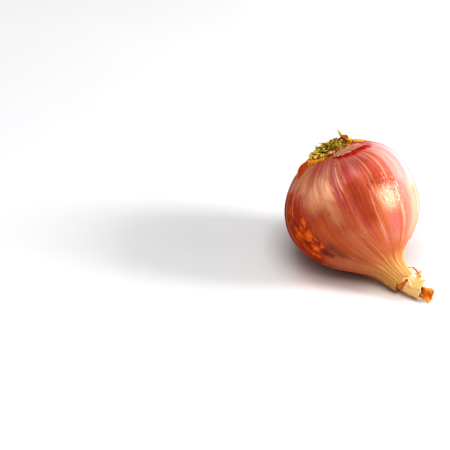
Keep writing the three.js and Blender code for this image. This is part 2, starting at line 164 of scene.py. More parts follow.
@dataclass(frozen=True)
class BulbForm:
    """The bent axis and the outline of the bulb, in millimetres and radians."""

    belly: float = 19.1
    centre: tuple[float, float, float] = (-0.1, -0.37, 18.66)
    root_reach: float = 16.3
    squareness: float = 2.25
    lean: float = math.radians(39)
    root_rise: float = 4.55
    root_aside: float = 1.65
    root_nod: float = math.radians(22.7)
    root_turn: float = math.radians(6.1)
    rim: float = 6.35
    bend_start: float = 16.7
    bend_end: float = 33.5
    neck_aside: float = 0.45
    neck_aside_run: float = 15.0
    flank_aside: float = 0.45
    flank_aside_at: float = math.radians(57)
    flank_aside_span: tuple[float, float] = (12.0, 10.0)
    shoulder_end: float = 14.6
    flank_ease: float = 4.3
    flank_pull: tuple[float, float] = (4.4, 20.5)
    throat: tuple[float, float] = (4.15, 24.5)
    mouth: tuple[float, float] = (3.35, 28.0)
    fine_rows: tuple[int, int, int, int] = (80, 40, 40, 20)
    slope_step: float = 0.04
    steepest: float = 6.0

    def sections(self, along: Array) -> Section:
        """Centres and directions of the sections at distances along the axis.

        Args:
            along: Distances from the equator.

        Returns:
            One section per distance.
        """
        along = np.atleast_1d(np.asarray(along, dtype=float))
        lean = self.lean
        up0 = np.array([math.sin(lean), 0.0, math.cos(lean)])
        side0 = np.array([0.0, 1.0, 0.0])
        ahead0 = np.array([math.cos(lean), 0.0, -math.sin(lean)])
        back = np.minimum(along, 0.0)
        share = (back / self.root_reach) ** 2
        nod, bend = self.root_nod * share, self.root_turn * share
        up = np.cos(nod)[:, None] * up0 + np.sin(nod)[:, None] * ahead0
        ahead = np.cos(nod)[:, None] * ahead0 - np.sin(nod)[:, None] * up0
        side = np.cos(bend)[:, None] * side0 - np.sin(bend)[:, None] * ahead
        ahead = np.cos(bend)[:, None] * ahead + np.sin(bend)[:, None] * side0
        straight = np.minimum(along, self.bend_start)
        centre = np.array(self.centre) + straight[:, None] * ahead0
        centre = centre + (self.root_rise * share)[:, None] * up0
        centre = centre + (self.root_aside * share**2)[:, None] * side0
        middle, half_width = self.flank_aside_span
        fuller = np.where(along > 0, self.flank_aside * hump(along - middle, half_width), 0.0)[:, None]
        at = self.flank_aside_at
        centre = centre + fuller * (math.cos(at) * up0 + math.sin(at) * side0)
        rate = lean / (self.bend_end - self.bend_start)
        past = np.maximum(along - self.bend_start, 0.0)
        dip = lean - rate * past
        centre[:, 0] += (math.sin(lean) - np.sin(dip)) / rate
        centre[:, 2] -= (np.cos(dip) - math.cos(lean)) / rate
        centre[:, 1] += self.neck_aside * (past / self.neck_aside_run) ** 2
        neck = (along > self.bend_start)[:, None]
        zero = np.zeros_like(dip)
        up = np.where(neck, np.stack([np.sin(dip), zero, np.cos(dip)], 1), up)
        ahead = np.where(neck, np.stack([np.cos(dip), zero, -np.sin(dip)], 1), ahead)
        return Section(centre, up, side, ahead)

    def point(self, along: Array, around: Array, radius: Array) -> Array:
        """Points round the bent axis.

        Args:
            along: Distances from the equator.
            around: Angles about the axis.
            radius: Distances from the axis.

        Returns:
            The points.
        """
        along, around, radius = alike(along, around, radius)
        section = self.sections(along)
        return section.centre + section.outward(around) * radius[:, None]

    def shoulder_radius(self, along: Array) -> Array:
        """Radius of the root half at distances along the axis."""
        return self.belly * np.sqrt(1 - np.abs(along / self.root_reach) ** self.squareness)

    def shoulder_along(self, radius: Array) -> Array:
        """Distance along the axis where the root half has a radius."""
        inner = 1 - (np.asarray(radius) / self.belly) ** 2
        return -self.root_reach * inner ** (1 / self.squareness)

    @property
    def rim_along(self) -> float:
        """Distance along the axis of the skin's rim round the root plate."""
        return float(self.shoulder_along(self.rim))

    def outline(self, rows: tuple[int, int, int, int]) -> list[tuple[float, float]]:
        """The skin's outline from the rim to the mouth as (radius, along).

        Args:
            rows: Steps in the root half, belly, hollow flank and neck.

        Returns:
            The outline's points.
        """
        points = []
        for t in np.linspace(0, np.pi / 2, rows[0] + 1):
            along = self.rim_along * math.cos(t)
            points.append((float(self.shoulder_radius(along)), along))
        top = math.asin(self.shoulder_end / self.belly)
        for t in np.linspace(0, top, rows[1] + 1)[1:]:
            points.append((self.belly * math.cos(t), self.belly * math.sin(t)))
        start = points[-1]
        fall = self.shoulder_end / start[0]
        pull = [
            np.array(start),
            np.array([start[0] - fall * self.flank_ease, start[1] + self.flank_ease]),
            np.array(self.flank_pull),
            np.array(self.throat),
        ]
        for t in np.linspace(0, 1, rows[2] + 1)[1:]:
            s = 1 - t
            p = s**3 * pull[0] + 3 * t * s * s * pull[1] + 3 * t * t * s * pull[2] + t**3 * pull[3]
            points.append((float(p[0]), float(p[1])))
        for t in np.linspace(0, 1, rows[3] + 1)[1:]:
            points.append(tuple(float(a + (b - a) * t) for a, b in zip(self.throat, self.mouth)))
        return points

    def skin_radius(self, along: Array) -> Array:
        """Radius of the smooth skin at distances along the axis, rim to mouth."""
        outline = np.array(self.outline(self.fine_rows))
        return np.interp(along, outline[:, 1], outline[:, 0])

    def on_skin(self, along: Array, around: Array, lift: Array) -> Array:
        """Points above the smooth skin.

        Args:
            along: Distances from the equator.
            around: Angles about the axis.
            lift: Heights square to the skin.

        Returns:
            The points.
        """
        along, around, lift = alike(along, around, lift)
        step = self.slope_step
        slope = (self.skin_radius(along + step) - self.skin_radius(along - step)) / (2 * step)
        slope = np.clip(slope, -self.steepest, self.steepest)
        section = self.sections(along)
        length = np.sqrt(1 + slope**2)
        radius = self.skin_radius(along) + lift / length
        across = section.outward(around) * radius[:, None]
        return section.centre + across - section.ahead * (lift * slope / length)[:, None]

    def on_plate(self, radius: Array, around: Array, height: Array) -> Array:
        """Points on and above the root plate's plane.

        Args:
            radius: Distances from the plate's middle.
            around: Angles about the axis.
            height: Heights measured outward from the rim.

        Returns:
            The points.
        """
        radius, around, height = alike(radius, around, height)
        section = self.sections(np.full(radius.shape, self.rim_along))
        across = section.outward(around) * radius[:, None]
        return section.centre + across - section.ahead * height[:, None]


FORM = BulbForm()


def drift(along: Array) -> Array:
    """How far the skin's veins wander sideways, in radians, on their way to the neck."""
    return rad(-4.5 * hump(along - 9, 13) + 6.0 * smooth(along, 17, 27))


# ------------------------------------------------------------------ meshes


@dataclass
class Layers:
    """Values stored on a mesh's points for its material: name to one value per point."""

    numbers: dict[str, Array] = field(default_factory=dict)
    vectors: dict[str, Array] = field(default_factory=dict)

    def write(self, mesh: bpy.types.Mesh) -> None:
        """Stores every layer on the mesh.

        Args:
            mesh: The mesh.
        """
        for kind, key, layers in (
            ("FLOAT", "value", self.numbers),
            ("FLOAT_VECTOR", "vector", self.vectors),
        ):
            for name, values in layers.items():
                layer = mesh.attributes.new(name, kind, "POINT")
                layer.data.foreach_set(key, np.asarray(values, dtype=np.float32).ravel())


def coordinates(mesh: bpy.types.Mesh) -> Array:
    """A mesh's points as rows of x, y and z."""
    flat = np.empty(len(mesh.vertices) * 3, dtype=np.float32)
    mesh.vertices.foreach_get("co", flat)
    return flat.reshape(-1, 3).astype(float)


def polar(mesh: bpy.types.Mesh) -> tuple[Array, Array, Array]:
    """The radii, angles and heights of a turned mesh's points."""
    flat = coordinates(mesh)
    return np.hypot(flat[:, 0], flat[:, 1]), np.arctan2(flat[:, 1], flat[:, 0]), flat[:, 2]


def place(mesh: bpy.types.Mesh, points_mm: Array) -> None:
    """Moves a mesh's points to places given in millimetres."""
    mesh.vertices.foreach_set("co", (points_mm * MM).astype(np.float32).ravel())
    mesh.update()


def place_closed(mesh: bpy.types.Mesh, points_mm: Array) -> None:
    """Places a closed mesh's points and turns its faces outward.

    Args:
        mesh: The mesh.
        points_mm: Its new points.
    """
    place(mesh, points_mm)
    bm = bmesh.new()
    bm.from_mesh(mesh)
    bmesh.ops.recalc_face_normals(bm, faces=bm.faces)
    bm.to_mesh(mesh)
    bm.free()


def finished(name: str, bm: bmesh.types.BMesh) -> bpy.types.Mesh:
    """Turns a bmesh into a new mesh and frees it.

    Args:
        name: The mesh's name.
        bm: What it is made from.

    Returns:
        The mesh.
    """
    mesh = bpy.data.meshes.new(name)
    bm.to_mesh(mesh)
    bm.free()
    return mesh


def linked(name: str, data: bpy.types.ID) -> bpy.types.Object:
    """Adds an object to the scene, at the origin."""
    thing = bpy.data.objects.new(name, data)
    bpy.context.scene.collection.objects.link(thing)
    return thing


def ease(thing: bpy.types.Object) -> None:
    """Rounds a piece's form with one level of subdivision."""
    skin = thing.modifiers.new("ease", "SUBSURF")
    skin.levels = skin.render_levels = 1


def thicken(thing: bpy.types.Object, thickness: float, side: float) -> None:
    """Gives a sheet its wall and rounds its form.

    Args:
        thing: The sheet's object.
        thickness: Wall in millimetres.
        side: Which side the wall grows to, from -1 to 1.
    """
    wall = thing.modifiers.new("wall", "SOLIDIFY")
    wall.thickness = thickness * MM
    wall.offset = side
    ease(thing)


def piece(name: str, mesh: bpy.types.Mesh, material: bpy.types.Material,
          node: str | None = None, wall: tuple[float, float] | None = None) -> bpy.types.Object:
    """Makes a mesh one of the object's pieces: smooth, dressed and bound to the part.

    Args:
        name: The piece's name.
        mesh: Its mesh.
        material: Its material.
        node: The node it stands for, if any.
        wall: A sheet's thickness in millimetres, and the side that it grows to.

    Returns:
        The piece's object.
    """
    mesh.name = name
    mesh.polygons.foreach_set("use_smooth", np.ones(len(mesh.polygons), dtype=bool))
    thing = linked(name, mesh)
    if wall:
        thicken(thing, *wall)
    mesh.materials.append(material)
    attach(thing, "root")
    if node:
        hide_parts(node)
    return thing


def turned(outline: Sequence[tuple[float, float]], columns: int) -> bpy.types.Mesh:
    """Spins an outline of (radius, height) into a closed surface round Z.

    Args:
        outline: The outline, from axis to axis.
        columns: Steps of the spin.

    Returns:
        The mesh, in the outline's own units.
    """
    bm = bmesh.new()
    verts = [bm.verts.new((radius, 0.0, height)) for radius, height in outline]
    edges = [bm.edges.new(pair) for pair in zip(verts, verts[1:])]
    bmesh.ops.spin(
        bm,
        geom=verts + edges,
        cent=(0, 0, 0),
        axis=(0, 0, 1),
        angle=TURN,
        steps=columns,
        use_merge=True,
    )
    bmesh.ops.remove_doubles(bm, verts=bm.verts, dist=1e-4)
    bmesh.ops.recalc_face_normals(bm, faces=bm.faces)
    return finished("turned", bm)


def sheet(columns: int, rows: int, at: Rule, layers: dict[str, Rule] | None = None) -> bpy.types.Mesh:
    """A single-walled sheet from a grid, each point placed by its shares u and v.

    Args:
        columns: Steps along u.
        rows: Steps along v.
        at: Gives the places in millimetres from u and v, both 0 to 1.
        layers: Further values to store, by name.

    Returns:
        The sheet, with u and v stored in its layer "share".
    """
    bm = bmesh.new()
    bmesh.ops.create_grid(bm, x_segments=columns, y_segments=rows, size=0.5)
    mesh = finished("sheet", bm)
    flat = coordinates(mesh)
    u, v = flat[:, 0] + 0.5, flat[:, 1] + 0.5
    numbers = {name: rule(u, v) for name, rule in (layers or {}).items()}
    Layers(numbers, {"share": np.stack([u, v, np.zeros_like(u)], 1)}).write(mesh)
    place(mesh, at(u, v))
    return mesh


@dataclass(frozen=True)
class Strand:
    """A thin stalk: its path in millimetres, its radii and the values its material reads."""

    path: Array
    radii: Array
    tone: float
    sides: int = 6
    flatness: float = 1.0

    def frames(self) -> tuple[Array, Array]:
        """Directions across the path that don't twist as it bends.

        Returns:
            Two directions at each point of the path.
        """
        tangents = unit(np.gradient(self.path, axis=0))
        upright = abs(tangents[0][2]) >= 0.9
        last = np.array([1.0, 0.0, 0.0]) if upright else np.array([0.0, 0.0, 1.0])
        across = []
        for tangent in tangents:
            last = last - tangent * float(last @ tangent)
            last = last / np.linalg.norm(last)
            across.append(last)
        return np.array(across), np.cross(tangents, np.array(across))

    def extruded(self) -> tuple[bmesh.types.BMesh, list[float]]:
        """Extrudes the stalk along its path.

        Returns:
            The stalk, and how far from base to tip each of its points is, 0 to 1.
        """
        bm = bmesh.new()
        ring = bmesh.ops.create_circle(bm, cap_ends=True, segments=self.sides, radius=1.0)
        loops = [list(ring["verts"])]
        cap = bm.faces[:][0]
        for _ in range(len(self.path) - 1):
            made = bmesh.ops.extrude_face_region(bm, geom=[cap])["geom"]
            cap = next(g for g in made if isinstance(g, bmesh.types.BMFace))
            loops.append([g for g in made if isinstance(g, bmesh.types.BMVert)])
        bm.verts.index_update()
        step_of = {vert.index: step for step, loop in enumerate(loops) for vert in loop}
        across, through = self.frames()
        for vert in bm.verts:
            step = step_of[vert.index]
            angle = math.atan2(vert.co.y, vert.co.x)
            out = across[step] * math.cos(angle) + through[step] * math.sin(angle) * self.flatness
            vert.co = Vector((self.path[step] + out * self.radii[step]) * MM)
        bmesh.ops.recalc_face_normals(bm, faces=bm.faces)
        return bm, [step_of[vert.index] / (len(loops) - 1) for vert in bm.verts]


def strands_mesh(strands: Iterable[Strand]) -> bpy.types.Mesh:
    """Makes every strand and joins them into one mesh.

    Args:
        strands: The stalks to make.

    Returns:
        The mesh, with layers "share_along" (0 at the base, 1 at the tip) and "tone".
    """
    whole = bmesh.new()
    shares: list[float] = []
    tones: list[float] = []
    for strand in strands:
        bm, places = strand.extruded()
        shares += places
        tones += [strand.tone] * len(places)
        part = finished("strand", bm)
        whole.from_mesh(part)
        bpy.data.meshes.remove(part)
    mesh = finished("strands", whole)
    Layers({"share_along": np.array(shares), "tone": np.array(tones)}).write(mesh)
    return mesh


def eased(points: Sequence[Point], steps: int) -> Array:
    """A smooth path through points.

    Args:
        points: The points to pass through, in millimetres.
        steps: Points in the finished path.

    Returns:
        The path's points.
    """
    knots = np.array(points, dtype=float)
    ends = np.concatenate([[2 * knots[0] - knots[1]], knots, [2 * knots[-1] - knots[-2]]])
    path = []
    for share in np.linspace(0, len(knots) - 1, steps):
        i = min(int(share), len(knots) - 2)
        t = share - i
        a, b, c, d = ends[i : i + 4]
        bend = (2 * a - 5 * b + 4 * c - d) * t * t
        path.append(0.5 * (2 * b + (c - a) * t + bend + (3 * b - a - 3 * c + d) * t**3))
    return np.array(path)


# ------------------------------------------------------------------ shader helpers


class Graph:
    """Adds and joins shader nodes in one tree."""

    def __init__(self, tree: bpy.types.NodeTree) -> None:
        """Takes the tree to work in."""
        self.tree = tree

    def node(self, kind: str, inputs: dict | None = None, **settings: object) -> bpy.types.Node:
        """Adds a node, sets it and fills or joins its inputs.

        Args:
            kind: The kind of node.
            inputs: What its sockets get, by name or place.
            **settings: Its other settings.

        Returns:
            The node.
        """
        made = self.tree.nodes.new(kind)
        for name, value in settings.items():
            setattr(made, name, value)
        self.fill(made, inputs or {})
        return made

    def fill(self, node: bpy.types.Node, inputs: dict) -> None:
        """Joins outputs to a node's sockets, or sets the sockets' own values.

        Args:
            node: The node to fill.
            inputs: What its sockets get, by name or place.
        """
        for key, value in inputs.items():
            if isinstance(value, bpy.types.NodeSocket):
                self.tree.links.new(value, node.inputs[key])
            else:
                node.inputs[key].default_value = value

    def maths(self, how: str, a: Value, b: Value, clamp: bool = False) -> Socket:
        """One arithmetic step."""
        return self.node("ShaderNodeMath", {0: a, 1: b}, operation=how, use_clamp=clamp).outputs[0]

    def times(self, a: Value, b: Value) -> Socket:
        """One value times another."""
        return self.maths("MULTIPLY", a, b)

    def plus(self, a: Value, b: Value) -> Socket:
        """One value plus another."""
        return self.maths("ADD", a, b)

    def centred(self, cloud: Value) -> Socket:
        """A value from 0 to 1 moved to lie about zero."""
        return self.maths("SUBTRACT", cloud, 0.5)

    def mix(self, share: Value, a: Value, b: Value) -> Socket:
        """Mixes two colours."""
        return self.node("ShaderNodeMix", {0: share, 6: a, 7: b}, data_type="RGBA").outputs[2]

    def over(self, shade: Value, code: str, mask: Value, amount: float | None = None) -> Socket:
        """Lays a colour over a shade.

        Args:
            shade: What it is laid on.
            code: The colour that is laid over.
            mask: Where it lies.
            amount: How strongly, where that isn't the mask's own strength.

        Returns:
            The new shade.
        """
        share = mask if amount is None else self.times(mask, amount)
        return self.mix(share, shade, colour(code))

    def spread(self, value: Value, low: float, high: float, to_low: float = 0.0,
               to_high: float = 1.0) -> Socket:
        """Maps a range smoothly to another, clamped."""
        inputs = {0: value, 1: low, 2: high, 3: to_low, 4: to_high}
        return self.node("ShaderNodeMapRange", inputs, interpolation_type="SMOOTHSTEP").outputs[0]

    def noise(self, vector: Value, scale: Value, detail: float = 3.0, roughness: float = 0.5,
              bend: float = 0.0) -> Socket:
        """Cloudy noise from 0 to 1.

        Args:
            vector: Where it is read.
            scale: How fine it is.
            detail: Levels of finer noise in it.
            roughness: Strength of the finer levels.
            bend: How far it is distorted.

        Returns:
            The noise.
        """
        inputs = {"Vector": vector, "Scale": scale, "Detail": detail, "Roughness": roughness}
        inputs["Distortion"] = bend
        return self.node("ShaderNodeTexNoise", inputs).outputs[0]

    def layer(self, name: str, output: int = 2) -> Socket:
        """Reads a value (2) or a vector (1) stored on the mesh."""
        made = self.node("ShaderNodeAttribute", attribute_type="GEOMETRY", attribute_name=name)
        return made.outputs[output]

    def scaled(self, vector: Value, scale: Point, shift: Point = (0.0, 0.0, 0.0)) -> Socket:
        """Stretches and shifts a vector."""
        inputs = {"Vector": vector, "Scale": scale, "Location": shift}
        return self.node("ShaderNodeMapping", inputs).outputs[0]

    def object_place(self) -> Socket:
        """The point's place in the object."""
        return self.node("ShaderNodeTexCoord").outputs["Object"]

    def ramp(self, share: Value, stops: dict[float, str]) -> Socket:
        """A run of colours.

        Args:
            share: Where on the run the shade is read, 0 to 1.
            stops: Places on the run and their colours.

        Returns:
            The shade.
        """
        made = self.node("ShaderNodeValToRGB", {0: share})
        band = made.color_ramp
        while len(band.elements) < len(stops):
            band.elements.new(0.5)
        for element, (where, code) in zip(band.elements, stops.items()):
            element.position = where
            element.color = colour(code)
        return made.outputs[0]

    def bump(self, height: Value, depth_mm: float, strength: float = 1.0,
             normal: Socket | None = None) -> Socket:
        """Turns a height from 0 to 1 into a normal.

        Args:
            height: The height.
            depth_mm: What a height of 1 stands for.
            strength: How much of it shows.
            normal: A normal that it is added to.

        Returns:
            The normal.
        """
        inputs = {"Height": height, "Distance": depth_mm * MM, "Strength": strength}
        if normal is not None:
            inputs["Normal"] = normal
        return self.node("ShaderNodeBump", inputs).outputs[0]


def new_material(name: str) -> tuple[bpy.types.Material, Graph, bpy.types.Node]:
    """A material with an empty graph but for its shader and output.

    Args:
        name: The material's name.

    Returns:
        The material, its graph and its shader.
    """
    made = bpy.data.materials.new(name)
    made.use_nodes = True
    made.node_tree.nodes.clear()
    graph = Graph(made.node_tree)
    shader = graph.node("ShaderNodeBsdfPrincipled")
    graph.node("ShaderNodeOutputMaterial", {0: shader.outputs[0]})
    return made, graph, shader


def new_group(name: str, inputs: Sequence[tuple], outputs: Sequence[str]) -> tuple:
    """A node group with named sockets.

    Args:
        name: The group's name.
        inputs: Name, socket kind and starting value of each input.
        outputs: Name of each output, all numbers.

    Returns:
        The group, its graph, its input node and its output node.
    """
    group = bpy.data.node_groups.new(name, "ShaderNodeTree")
    for label, kind, start in inputs:
        socket = group.interface.new_socket(name=label, in_out="INPUT", socket_type=kind)
        if start is not None:
            socket.default_value = start
    for label in outputs:
        group.interface.new_socket(name=label, in_out="OUTPUT", socket_type="NodeSocketFloat")
    graph = Graph(group)
    return group, graph, graph.node("NodeGroupInput"), graph.node("NodeGroupOutput")


class SharedEffects:
    """Node groups that more than one finish uses, each built once."""

    def __init__(self) -> None:
        """Builds the groups."""
        self.fibre_group = self._fibre_group()
        self.speck_group = self._speck_group()

    def _fibre_group(self) -> bpy.types.NodeTree:
        """Fine lines that run along the second axis of a stretched vector.

        Returns:
            The node group.
        """
        inputs = [("Vector", "NodeSocketVector", None), ("Fineness", "NodeSocketFloat", 40.0)]
        group, graph, given, out = new_group("dry_fibres", inputs, ["Lines", "Clouds"])
        lines = graph.noise(given.outputs[0], given.outputs[1], 3.0, 0.6)
        ridge = graph.maths("ABSOLUTE", graph.centred(lines), 0.0)
        clouds = graph.noise(given.outputs[0], graph.times(given.outputs[1], 0.16), 4.0, 0.55)
        graph.fill(out, {0: graph.spread(ridge, 0.0, 0.12, 1.0, 0.0), 1: clouds})
        return group

    def _speck_group(self) -> bpy.types.NodeTree:
        """Small scattered spots of uneven size.

        Returns:
            The node group.
        """
        inputs = [("Vector", "NodeSocketVector", None), ("Density", "NodeSocketFloat", 200.0)]
        group, graph, given, out = new_group("small_specks", inputs, ["Specks"])
        cells = graph.node(
            "ShaderNodeTexVoronoi",
            {"Vector": given.outputs[0], "Scale": given.outputs[1], "Randomness": 1.0},
        )
        pick = graph.node("ShaderNodeSeparateColor", {0: cells.outputs["Color"]}).outputs[0]
        reach = graph.spread(pick, 0.55, 1.0, 0.0, 0.2)
        spot = graph.maths("SUBTRACT", reach, cells.outputs["Distance"])
        graph.fill(out, {0: graph.spread(spot, 0.0, 0.08)})
        return group

    def fibres(self, graph: Graph, vector: Value, fineness: float) -> tuple[Socket, Socket]:
        """Places the fibres in a material.

        Args:
            graph: The material's graph.
            vector: Where they are read.
            fineness: How fine they are.

        Returns:
            The fibres' lines, and clouds among them.
        """
        inputs = {"Vector": vector, "Fineness": fineness}
        made = graph.node("ShaderNodeGroup", inputs, node_tree=self.fibre_group)
        return made.outputs["Lines"], made.outputs["Clouds"]

    def specks(self, graph: Graph, vector: Value, density: float) -> Socket:
        """Places the specks in a material."""
        inputs = {"Vector": vector, "Density": density}
        return graph.node("ShaderNodeGroup", inputs, node_tree=self.speck_group).outputs[0]


# ------------------------------------------------------------------ the skin


class Tone(Enum):
    """The tones that the skin's streaks and patches are painted in."""

    PALE = "pale"
    TAN = "tan"
    ROSE = "rose"
    EMBER = "ember"
    # dark spots, and painted shade on the far left
    UMBER_AND_SHADE = "umber_and_shade"
    AMBER = "amber"
    BRUISE = "bruise"
    RUST = "rust"
    BLUSH = "blush"
    # painted light: the right flank made paler where the light falls on it
    PAINTED_LIGHT = "painted_light"
    # partly the torn skin edge, partly painted shade under the flap
    HEM_SHADE = "hem_shade"
    SIENNA = "sienna"


@dataclass(frozen=True)
class SkinMark:
    """A streak or patch: its tone, middle angle and half width in degrees, and its span."""

    tone: Tone
    around: float
    half_width: float
    start: float
    end: float
    strength: float = 1.0
    fade: float = 3.0
    slip: float = 0.0


@dataclass(frozen=True)
class Pleat:
    """A raised line of the skin: angle, half width, span and height in millimetres."""

    around: float
    half_width: float
    start: float
    end: float
    height: float


